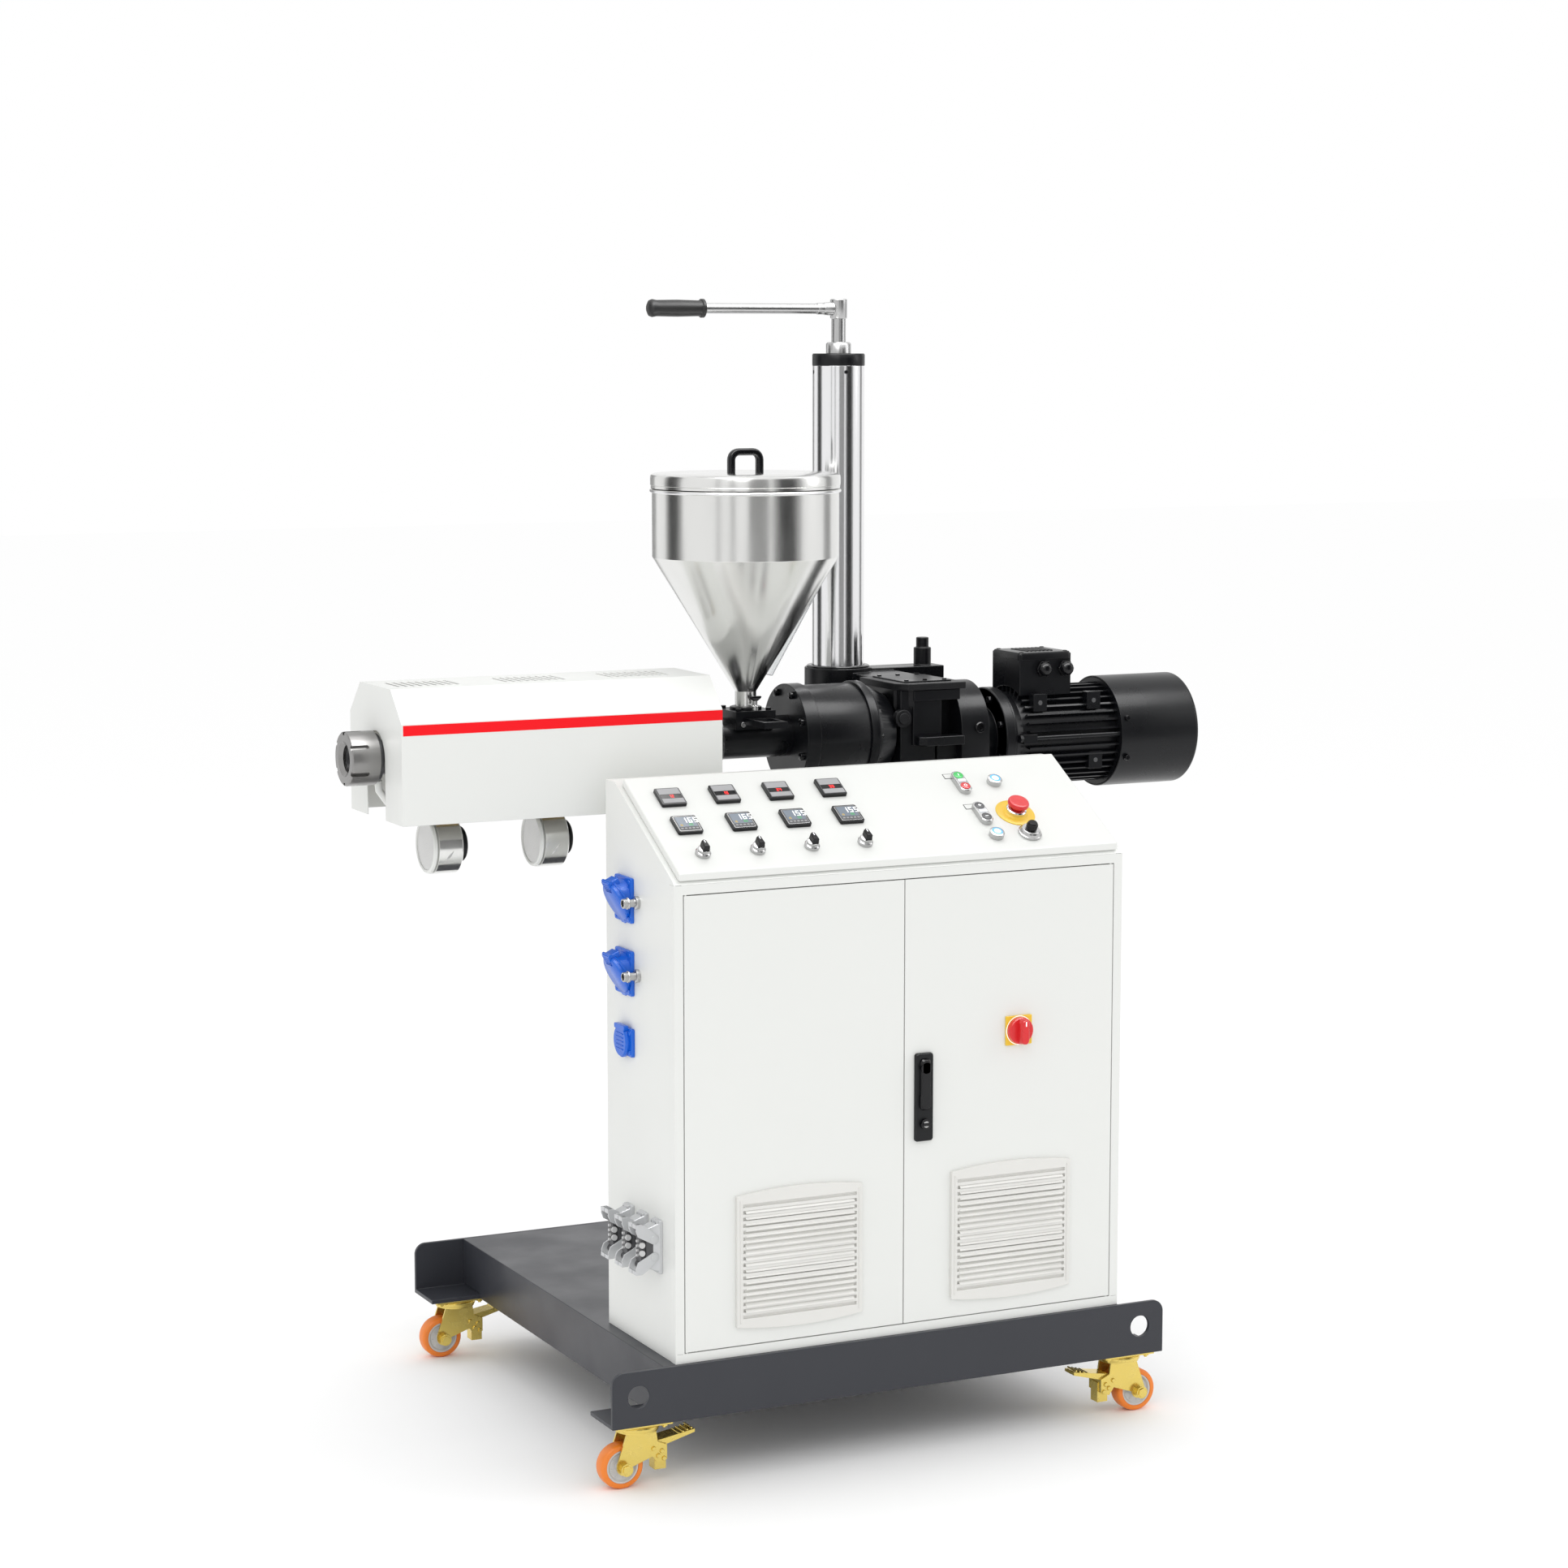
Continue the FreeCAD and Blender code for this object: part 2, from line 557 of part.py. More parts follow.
def console_part(label, *pieces):
    """A sub-part drawn on the console lid: x from its left edge, y up the slope, z out of it."""
    whole = sub_part(label, *pieces)
    whole.Placement = FreeCAD.Placement(Vector(), Rotation(Vector(1, 0, 0), number("console_slope")))
    lid_left = "cabinet_inset + lid_inset - centre_x"
    for axis, formula in zip("xyz", (lid_left, "cabinet_front - centre_y", "fold_z")):
        whole.setExpression("Placement.Base." + axis, bound(formula))
    whole.setExpression("Placement.Rotation.Angle", bound("console_slope"))
    return whole


# ---- base and casters ------------------------------------------------------------

def angle_outline(rear):
    """Cross-section (y, z) of a base angle: flange below, leg standing at the outside."""
    across = ["0", "angle_leg", "angle_leg", "angle_wall", "angle_wall", "0"]
    low, high = "caster_height", "caster_height + angle_leg"
    up = [low, low, "caster_height + angle_wall", "caster_height + angle_wall", high, high]
    if rear:
        across = [f"base_depth - {place}" for place in across]
    return list(zip(across, up))


def base():
    """Two steel angles with a folded platform between them."""
    def web_corner(edge):
        return runs_along(Vector(0, 1, 0))(edge) and edge.BoundBox.ZMin > number("deck_top - overrun")

    front = rounded(extruded(angle_outline(False), "base_length", "0"), "angle_corner", web_corner)
    lift_holes = [
        rod("lift_hole_radius", "3 * angle_wall", x, "-angle_wall",
            "caster_height + lift_hole_rise", ALONG_Y)
        for x in ("lift_hole_inset", "base_length - lift_hole_inset")
    ]
    sub_part("base_front_angle", cut(front, *lift_holes))
    rear = rounded(extruded(angle_outline(True), "base_length", "0"), "angle_corner", web_corner)
    sub_part("base_rear_angle", rear)

    depth = "base_depth - 2 * angle_wall"
    sheet = block("deck_length", depth, "deck_sheet",
                  "deck_inset", "angle_wall", "deck_top - deck_sheet")
    skirts = []
    for x in ("deck_inset", "deck_inset + deck_length - deck_sheet"):
        skirts.append(block("deck_sheet", depth, "angle_leg - angle_wall",
                            x, "angle_wall", "caster_height + angle_wall"))
        skirts.append(block("deck_sheet", "base_depth - 2 * angle_leg", "angle_wall",
                            x, "angle_leg", "caster_height"))
    sub_part("platform", join(sheet, *skirts))


CASTERS = [
    (f"{row}_{side}", x, y, sign)
    for row, y in (("front", "caster_setback"), ("rear", "base_depth - caster_setback"))
    for side, x, sign in (("left", "caster_inset", "1"), ("right", "base_length - caster_inset", "-1"))
]


def fork(x, y, sign):
    """Caster fork with its swivel bearing, axle, brake and pedal; sign 1 trails to the left."""
    axle_x = f"{x} - {sign} * caster_trail"
    inner = "(wheel_width / 2 + fork_gap)"
    race_top = "plate_underside - swivel_clearance"
    crown = rod("race_radius", "race_height", x, y, f"{race_top} - race_height")
    leg_corners = [
        ("-fork_rear", f"{race_top} - fork_overlap"), ("fork_front", f"{race_top} - fork_overlap"),
        ("fork_brow", "wheel_radius * 2"), ("fork_ear", "wheel_radius + fork_ear_rise"),
        ("fork_ear", "wheel_radius + fork_ear_low"), ("fork_brow", "wheel_radius"),
        ("fork_front - fork_overlap", "wheel_radius + fork_hollow"),
        ("fork_eye - caster_trail", "wheel_radius"), ("-fork_eye - caster_trail", "wheel_radius"),
        ("-fork_eye - caster_trail", "wheel_radius + fork_overlap"),
    ]
    corners = [(f"{sign} * ({across})", up) for across, up in leg_corners]
    legs = [
        plate(corners, "fork_sheet", x, f"{y} + {inner}", "0"),
        plate(corners, "fork_sheet", x, f"{y} - {inner} - fork_sheet", "0"),
    ]
    eyes = [
        rod("fork_eye", "fork_sheet", axle_x, f"{y} + {inner}", "wheel_radius", ALONG_Y),
        rod("fork_eye", "fork_sheet", axle_x, f"{y} - {inner} - fork_sheet", "wheel_radius", ALONG_Y),
    ]
    axle = rod("axle_radius", f"2 * ({inner} + fork_sheet + axle_proud)", axle_x,
               f"{y} - {inner} - fork_sheet - axle_proud", "wheel_radius", ALONG_Y)
    brake_x = f"{x} + {sign} * brake_reach"
    bridge = block("brake_bar", f"2 * ({inner} + seat)", "brake_bar_height",
                   f"{brake_x} - brake_bar / 2", f"{y} - {inner} - seat",
                   "wheel_radius + brake_bar_rise")
    shoe = block("shoe_length", "shoe_width", "shoe_height",
                 f"{brake_x} + {sign} * overrun - shoe_length / 2", f"{y} - shoe_width / 2",
                 "wheel_radius - shoe_drop")
    bar_top = "wheel_radius + brake_bar_rise + brake_bar_height"
    pedal_corners = [
        (f"{sign} * fork_brow", f"{bar_top} - pedal_sheet / 2"),
        (f"{sign} * fork_ear", f"{bar_top} - pedal_sheet / 2"),
        (f"{sign} * pedal_reach", "wheel_radius + pedal_rise"),
        (f"{sign} * pedal_reach", "wheel_radius + pedal_rise + pedal_sheet"),
        (f"{sign} * fork_brow", f"{bar_top} + pedal_sheet"),
    ]
    pedal = plate(pedal_corners, "pedal_width", x, f"{y} - pedal_width / 2", "0")
    return join(crown, *legs, *eyes, axle, bridge, shoe, pedal)


def casters():
    """Four swivel casters with brakes."""
    plates = [
        block("caster_plate_length", "caster_plate_width", "caster_plate_sheet",
              f"{x} - caster_plate_length / 2", f"{y} - caster_plate_width / 2", "plate_underside")
        for name, x, y, sign in CASTERS
    ]
    sub_part("caster_plates", *plates)
    for name, x, y, sign in CASTERS:
        sub_part("caster_fork_" + name, fork(x, y, sign))
        profile = [
            ("axle_radius + pin_clearance", "-wheel_width / 2"),
            ("wheel_radius - tread_drop", "-wheel_width / 2"),
            ("wheel_radius", "-wheel_width / 2 + tread_edge"),
            ("wheel_radius", "wheel_width / 2 - tread_edge"),
            ("wheel_radius - tread_drop", "wheel_width / 2"),
            ("axle_radius + pin_clearance", "wheel_width / 2"),
        ]
        wheel = turned(profile, f"{x} - {sign} * caster_trail", y, "wheel_radius", ALONG_Y)
        sub_part("caster_wheel_" + name, wheel)


# ---- cabinet ---------------------------------------------------------------------

def cabinet():
    """Sheet cabinet with a sloping top, open at the front, and the frame round its doors."""
    frame_top = "deck_top + cabinet_low"
    outside = [
        ("frame_back", "deck_top"), ("cabinet_back", "deck_top"), ("cabinet_back", "cabinet_top"),
        ("flat_y", "cabinet_top"), ("slope_y", "slope_z"), ("cabinet_front", frame_top),
        ("frame_back", frame_top),
    ]
    rear = "cabinet_back - cabinet_sheet"
    under = "slope_z - sheet_drop"
    inside = [
        ("frame_back - overrun", "deck_top + cabinet_sheet"), (rear, "deck_top + cabinet_sheet"),
        (rear, "cabinet_top - cabinet_sheet"),
        (f"slope_y + (cabinet_top - cabinet_sheet - ({under})) / tan(console_slope)",
         "cabinet_top - cabinet_sheet"),
        ("frame_back", f"{under} + (frame_back - slope_y) * tan(console_slope)"),
        ("frame_back", frame_top), ("frame_back - overrun", frame_top),
    ]
    shell = cut(
        extruded(outside, "cabinet_width", "cabinet_inset"),
        extruded(inside, "cabinet_width - 2 * cabinet_sheet", "cabinet_inset + cabinet_sheet"),
    )
    sub_part("cabinet_shell", shell)

    ring = cut(
        block("cabinet_width", "frame_depth", "cabinet_low",
              "cabinet_inset", "cabinet_front", "deck_top"),
        block("cabinet_width - 2 * frame_bar", "3 * frame_depth", "cabinet_low - 2 * frame_bar",
              "cabinet_inset + frame_bar", "cabinet_front - frame_depth", "deck_top + frame_bar"),
    )
    reach = "door_gap + hinge_reach"
    pins = [
        rod("hinge_radius", reach, x, "cabinet_front + hinge_set", z)
        for x in ("left_door + hinge_set", "right_door + door_wide - hinge_set")
        for z in ("door_bottom - door_gap", "door_top - hinge_reach")
    ]
    sub_part("cabinet_front_frame", join(ring, *pins))


def door(x, hinge_x):
    """A sheet door with a folded rim, bored for its two hinge pins."""
    leaf = block("door_wide", "frame_depth", "door_tall", x, "cabinet_front", "door_bottom")
    hollow = block("door_wide - 2 * door_return", "frame_depth", "door_tall - 2 * door_return",
                   f"{x} + door_return", "cabinet_front + cabinet_sheet",
                   "door_bottom + door_return")
    bores = [
        rod("hinge_radius + pin_clearance", "hinge_reach + overrun", hinge_x,
            "cabinet_front + hinge_set", z)
        for z in ("door_bottom - overrun / 2", "door_top - hinge_reach - overrun / 2")
    ]
    return cut(leaf, hollow, *bores)


BOW_STEPS = 8


def vent(x):
    """A ventilation grille with bowed top and bottom edges and a column of slots."""
    body = doc.addObject("PartDesign::Body", "grille")
    half = "vent_width / 2"
    low, high = "0", "vent_height"

    def bow(share, edge, sign):
        return f"{edge} + {sign} * vent_bulge * {1 - share * share:.4f}"

    shares = [2 * step / BOW_STEPS - 1 for step in range(BOW_STEPS + 1)]
    corners = [(f"{half} * {1 + share:.4f}", bow(share, low, "-1")) for share in shares]
    corners += [(f"{half} * {1 + share:.4f}", bow(share, high, "1")) for share in reversed(shares)]
    pad = body.newObject("PartDesign::Pad", "pad")
    pad.Profile = outline(body, "XZ_Plane", corners)
    pad.setExpression("Length", bound("vent_depth"))
    doc.recompute()
    bottom = "(vent_height - (louvre_count - 1) * louvre_pitch - louvre_slot) / 2"
    slot = body.newObject("PartDesign::Pocket", "slot")
    slot.Profile = outline(body, "XZ_Plane", [
        ("louvre_inset", bottom), ("vent_width - louvre_inset", bottom),
        ("vent_width - louvre_inset", f"{bottom} + louvre_slot"),
        ("louvre_inset", f"{bottom} + louvre_slot"),
    ])
    slot.Type = "Length"
    slot.setExpression("Length", bound("vent_depth - vent_skin"))
    slot.Reversed = True
    slot.Profile[0].AttachmentOffset = FreeCAD.Placement(Vector(), Rotation())
    slot.Profile[0].setExpression("AttachmentOffset.Base.z", bound("vent_skin"))
    doc.recompute()
    column = body.newObject("PartDesign::LinearPattern", "column")
    column.Originals = [slot]
    column.Direction = (slot.Profile[0], ["V_Axis"])
    column.setExpression("Length", bound("(louvre_count - 1) * louvre_pitch"))
    column.Occurrences = int(number("louvre_count"))
    body.Tip = column
    return put(body, x, "cabinet_front", "door_bottom + vent_rise + vent_bulge")


def doors():
    """Two doors with their grilles, the swing handle and the main switch."""
    sub_part("door_left", door("left_door", "left_door + hinge_set"))
    sub_part("door_right", door("right_door", "right_door + door_wide - hinge_set"))
    sub_part("vent_left", vent("left_door + vent_inset"))
    sub_part("vent_right", vent("right_door + door_wide - vent_margin - vent_width"))

    handle = block("handle_width", "handle_depth", "handle_height", "right_door + handle_inset",
                   "cabinet_front - handle_depth", "door_bottom + handle_rise")
    sub_part("door_handle", rounded(handle, "handle_round", runs_along(Vector(0, 1, 0))))

    x, z = "right_door + switch_inset", "door_bottom + switch_rise"
    sub_part("main_switch_plate",
             block("switch_plate", "switch_plate_depth", "switch_plate",
                   f"{x} - switch_plate / 2", "cabinet_front - switch_plate_depth",
                   f"{z} - switch_plate / 2"))
    knob_y = "cabinet_front - switch_plate_depth - swivel_clearance - switch_disc"
    disc = rod("switch_radius", "switch_disc", x, knob_y, z, ALONG_Y)
    grip = block("grip_width", "switch_grip + overrun", "2 * (switch_radius - grip_inset)",
                 f"{x} - grip_width / 2", f"{knob_y} - switch_grip",
                 f"{z} - switch_radius + grip_inset")
    sub_part("main_switch_knob", join(disc, grip))


# ---- console ---------------------------------------------------------------------

def console():
    """The sloping lid with its meters, knobs and buttons."""
    along, up = "lid_length * cos(console_slope)", "lid_length * sin(console_slope)"
    lean = "lid_thickness * sin(console_slope)"
    drop = "lid_thickness * cos(console_slope)"
    lid = extruded([
        ("cabinet_front", "fold_z - lid_lip"), ("cabinet_front", "fold_z"),
        (f"cabinet_front + {along}", f"fold_z + {up}"),
        (f"cabinet_front + {along} + {lean}", f"fold_z + {up} - {drop}"),
        ("slope_y", "slope_z"),
    ], "cabinet_width - 2 * lid_inset", "cabinet_inset + lid_inset")
    sub_part("console_lid", lid)

    columns = [f"meter_inset + {column} * meter_pitch" for column in range(4)]
    meters = [
        block("meter_side", "meter_side", "meter_height",
              f"{x} - meter_side / 2", f"{row} - meter_side / 2", "0")
        for row in ("meter_upper_row", "meter_lower_row") for x in columns
    ]
    console_part("panel_meters", *meters)

    bezels = [
        rod("selector_bezel_radius", "selector_bezel_height", x, "selector_row", "0")
        for x in columns
    ]
    speed_base = cone("speed_base_radius", "speed_base_radius - speed_base_taper", "speed_base_height",
                      "single_column", "button_lower_row", "0")
    stop_base = cut(
        join(rod("stop_disc_radius", "stop_disc_height", "single_column", "button_middle_row", "0"),
             rod("stop_collar_radius", "stop_disc_height + stop_collar_height",
                 "single_column", "button_middle_row", "0")),
        rod("stop_stem_radius + pin_clearance", "3 * stop_collar_height",
            "single_column", "button_middle_row", "-stop_collar_height"))
    console_part("control_bezels", *bezels, speed_base, stop_base)

    for index, x in enumerate(columns, start=1):
        low = "selector_bezel_height + swivel_clearance"
        foot = rod("selector_radius", "selector_disc", x, "selector_row", low)
        pointer = block("selector_grip_width", "2 * selector_radius - overrun",
                        "selector_grip + overrun", f"{x} - selector_grip_width / 2",
                        "selector_row - selector_radius + overrun / 2",
                        f"{low} + selector_disc - overrun")
        console_part(f"selector_knob_{index}", join(foot, pointer))
    console_part("speed_knob",
                 rod("speed_cap_radius", "speed_cap_height", "single_column",
                     "button_lower_row", "speed_base_height + swivel_clearance"))

    pairs = [
        rounded(block("pair_width", "pair_length", "pair_height", "pair_column - pair_width / 2",
                      f"{row} - pair_length / 2", "0"),
                "pair_width / 2 - overrun / 2", runs_along(Vector(0, 0, 1)))
        for row in ("button_upper_row", "button_middle_row")
    ]
    lamps = [
        rod("lamp_radius", "lamp_height", x, row, "0")
        for x, row in (("single_column", "button_upper_row"), ("pair_column", "button_lower_row"))
    ]
    console_part("push_buttons", *pairs, *lamps)

    collar_top = "stop_disc_height + stop_collar_height"
    head_z = f"{collar_top} + stop_travel + overrun"
    stem = rod("stop_stem_radius", f"{collar_top} + 2 * overrun", "single_column",
               "button_middle_row", "stop_travel + overrun")
    head = turned([("0", "0"), ("stop_head_radius - stop_head_round", "0"),
                   ("stop_head_radius", "stop_head_round"),
                   ("stop_head_radius", "stop_head_height - stop_head_round"),
                   ("stop_head_radius - stop_head_round", "stop_head_height"),
                   ("0", "stop_head_height")],
                  "single_column", "button_middle_row", head_z)
    console_part("stop_button", join(stem, head))


def side_connectors():
    """Mains sockets, signal connectors and heavy connectors on the cabinet's left side."""
    y = "cabinet_front + socket_setback"
    sockets = []
    for index in range(2):
        z = f"deck_top + socket_first_rise - {index} * socket_pitch"
        flange = block("socket_plate", "socket_width", "socket_height",
                       "cabinet_inset - socket_plate", f"{y} - socket_width / 2",
                       f"{z} - socket_height / 2")
        body = rod("socket_radius", "socket_reach", "cabinet_inset - socket_reach", y, z, ALONG_X)
        sockets.append(join(flange, body))
    z = "deck_top + plug_socket_rise"
    sockets.append(join(
        block("socket_plate", "socket_width", "plug_socket_side", "cabinet_inset - socket_plate",
              f"{y} - socket_width / 2", f"{z} - plug_socket_side / 2"),
        rod("plug_socket_side / 2 - plug_socket_rim", "socket_plate + plug_socket_reach",
            "cabinet_inset - socket_plate - plug_socket_reach", y, z, ALONG_X)))
    signals = [
        rod("signal_radius", "signal_reach", "cabinet_inset - signal_reach",
            "cabinet_front + signal_setback",
            f"deck_top + socket_first_rise - {index} * socket_pitch", ALONG_X)
        for index in range(2)
    ]
    sub_part("side_sockets", *sockets, *signals)
    heavy = [
        block("heavy_reach", "heavy_width", "heavy_height", "cabinet_inset - heavy_reach",
              f"cabinet_front + heavy_setback + {index} * heavy_pitch - heavy_width / 2",
              "deck_top + heavy_rise")
        for index in range(3)
    ]
    sub_part("heavy_connectors", *heavy)


# ---- barrel ----------------------------------------------------------------------

def shroud():
    """Sheet cover over the heated barrel, open below, slotted for the barrel and for air."""
    half = "shroud_width / 2"

    def section(inset, floor):
        low = f"-shroud_below - {floor}"
        side = f"{half} - {inset}"
        top = f"shroud_above - {inset}"
        flat = f"{half} - shroud_chamfer - {inset} * top_fold"
        shoulder = f"shroud_side - {inset} * side_fold"
        return [
            (f"-({side})", low), (side, low), (side, shoulder), (flat, top),
            (f"-({flat})", top), (f"-({side})", shoulder),
        ]

    outside = extruded(section("0", "0"), "shroud_length", "shroud_x", "axis_setback", "axis_height")
    inside = extruded(section("shroud_sheet", "overrun"), "shroud_length - 2 * shroud_sheet",
                      "shroud_x + shroud_sheet", "axis_setback", "axis_height")
    mouth = join(
        rod("shroud_slot / 2", "shroud_length + 2 * overrun", "shroud_x - overrun",
            "axis_setback", "axis_height", ALONG_X),
        block("shroud_length + 2 * overrun", "shroud_slot", "shroud_below + overrun",
              "shroud_x - overrun", "axis_setback - shroud_slot / 2",
              "axis_height - shroud_below - overrun"))
    vents = [
        block("cooling_slot_width", "shroud_width / 2 - shroud_chamfer", "4 * shroud_sheet",
              f"shroud_x + cooling_first + {zone} * zone_pitch + {step} * cooling_slot_pitch",
              "axis_setback - (shroud_width / 2 - shroud_chamfer) / 2",
              "axis_height + shroud_above - 2 * shroud_sheet")
        for zone in range(3)
        for step in range(int(number("cooling_slots")))
    ]
    sub_part("barrel_shroud", cut(outside, inside, mouth, *vents))


def barrel():
    """Barrel with its end flange, heater bands, nozzle nut and cooling blowers."""
    end = "shroud_end"
    length = f"{end} + nozzle_reach - nozzle_length"
    tube = rod("barrel_radius", length, "nozzle_length - nozzle_reach", "axis_setback",
               "axis_height", ALONG_X)
    flange = rod("barrel_flange_radius", "barrel_flange_length", end, "axis_setback",
                 "axis_height", ALONG_X)
    ring = rod("nozzle_radius - nozzle_seat_step", "nozzle_seat_length",
               "nozzle_length - nozzle_reach", "axis_setback", "axis_height", ALONG_X)
    sub_part("barrel", join(tube, flange, ring))

    zones = [f"shroud_x + heater_first + {zone} * zone_pitch" for zone in range(3)]
    bands = [
        cut(rod("heater_radius", "heater_length", x, "axis_setback", "axis_height", ALONG_X),
            rod("barrel_radius", "heater_length + 2 * overrun", f"{x} - overrun", "axis_setback",
                "axis_height", ALONG_X))
        for x in zones
    ]
    sub_part("heater_bands", *bands)

    nut = turned([("nozzle_bore", "nozzle_taper"), ("nozzle_bore + nozzle_taper", "0"),
                  ("nozzle_radius - nozzle_edge", "0"), ("nozzle_radius", "nozzle_edge"),
                  ("nozzle_radius", "nozzle_length"), ("nozzle_bore", "nozzle_length")],
                 "-nozzle_reach", "axis_setback", "axis_height", ALONG_X)
    slots = []
    for index in range(int(number("nozzle_slots"))):
        floor = "nozzle_radius - nozzle_slot_depth"
        slot = block("nozzle_slot_length + overrun", "nozzle_slot_width",
                     "nozzle_slot_depth + overrun", "-overrun", "-nozzle_slot_width / 2", floor)
        end = rod("nozzle_slot_width / 2", "nozzle_slot_depth + overrun",
                  "nozzle_slot_length", "0", floor)
        holder = group(join(slot, end))
        turn = f"{index} * 360 / nozzle_slots"
        holder.Placement = FreeCAD.Placement(Vector(), Rotation(Vector(1, 0, 0), number(turn)))
        slots.append(holder)
    cutters = put(group(*slots), "-nozzle_reach", "axis_setback", "axis_height")
    sub_part("nozzle_nut", cut(nut, cutters))

    blowers = []
    for zone in range(3):
        x = f"shroud_x + blower_first + {zone} * zone_pitch"
        z = "axis_height - blower_drop"
        drum = rod("blower_radius", "blower_length", x, "axis_setback", z, ALONG_X)
        hub = rod("blower_hub_radius", "blower_hub_length", f"{x} + blower_length",
                  "axis_setback", z, ALONG_X)
        duct = block("duct_width", "duct_width", "blower_drop - heater_radius - swivel_clearance",
                     f"{x} + blower_length / 2 - duct_width / 2",
                     "axis_setback - duct_width / 2", z)
        blowers.append(join(drum, hub, duct))
    sub_part("cooling_blowers", *blowers)


def feed_section():
    """Water-cooled feed section with the slide gate under the hopper."""
    start = "flange_end"
    x, y, z = "hopper_x", "axis_setback", "axis_height"
    tube = rod("throat_radius", f"gear_x - {start}", start, y, z, ALONG_X)
    body = block("feed_block_length", "feed_block_width", "feed_block_top - feed_block_bottom",
                 "block_x", f"{y} - feed_block_width / 2", f"{z} + feed_block_bottom")
    cap = block("feed_block_length", "feed_block_width", "flange_plate",
                "block_x", f"{y} - feed_block_width / 2", f"{z} + feed_block_top")
    drop = rod("throat_bore", "feed_block_top + flange_plate + 2 * feed_depth", x, y,
               f"{z} - feed_depth")
    channel = block("gate_width + 2 * gate_clearance", "3 * feed_block_width",
                    "gate_thickness + 2 * gate_clearance",
                    f"{x} - gate_width / 2 - gate_clearance", f"{y} - 1.5 * feed_block_width",
                    "gate_z")
    sub_part("feed_section", cut(join(tube, body, cap), drop, channel))

    tongue = block("gate_width", "gate_reach + gate_tail", "gate_thickness",
                   f"{x} - gate_width / 2", f"{y} - gate_reach", "gate_z + gate_clearance")
    window = join(
        rod("throat_bore", "3 * gate_thickness", x, f"{y} - gate_stroke", "gate_z - gate_thickness"),
        block("2 * throat_bore", "gate_reach - gate_stroke - gate_lip", "3 * gate_thickness",
              f"{x} - throat_bore", f"{y} - gate_reach + gate_lip", "gate_z - gate_thickness"))
    sub_part("feed_gate", cut(tongue, window))


def hopper():
    """Polished hopper with a lid and a bow handle, on its neck."""
    x, y = "hopper_x", "axis_setback"
    inner = "hopper_radius - hopper_sheet"
    shell = turned([
        ("neck_radius", "neck_z"), ("neck_radius", "cone_z"), ("hopper_radius", "cylinder_z"),
        ("hopper_radius", "rim_z - 2 * hopper_rim"),
        ("hopper_radius + hopper_rim", "rim_z - 1.5 * hopper_rim"),
        ("hopper_radius + hopper_rim", "rim_z - 0.5 * hopper_rim"), ("hopper_radius", "rim_z"),
        (inner, "rim_z"), (inner, "cylinder_z"), ("neck_radius - hopper_sheet", "cone_z"),
        ("neck_radius - hopper_sheet", "neck_z"),
    ], x, y, "0")
    sub_part("hopper_body", shell)

    lid = turned([
        ("0", "0"), ("hopper_lid_radius", "0"),
        ("hopper_lid_radius", "hopper_lid_height - hopper_lid_round"),
        ("hopper_lid_radius - hopper_lid_round", "hopper_lid_height"), ("0", "hopper_lid_height"),
    ], x, y, "rim_z + swivel_clearance")
    sub_part("hopper_lid", lid)

    foot = "rim_z + swivel_clearance + hopper_lid_height"
    bow = cut(
        rounded(block("lid_handle_width", "lid_handle_bar", "lid_handle_height",
                      f"{x} - lid_handle_width / 2", f"{y} - lid_handle_bar / 2", foot),
                "lid_handle_round", lambda edge: runs_along(Vector(0, 1, 0))(edge)
                and edge.BoundBox.ZMin > number(f"{foot} + overrun")),
        block("lid_handle_width - 2 * lid_handle_bar", "3 * lid_handle_bar",
              "lid_handle_height - lid_handle_top",
              f"{x} - lid_handle_width / 2 + lid_handle_bar", f"{y} - 1.5 * lid_handle_bar",
              f"{foot} - seat"))
    sub_part("hopper_handle", bow)


# ---- drive -----------------------------------------------------------------------

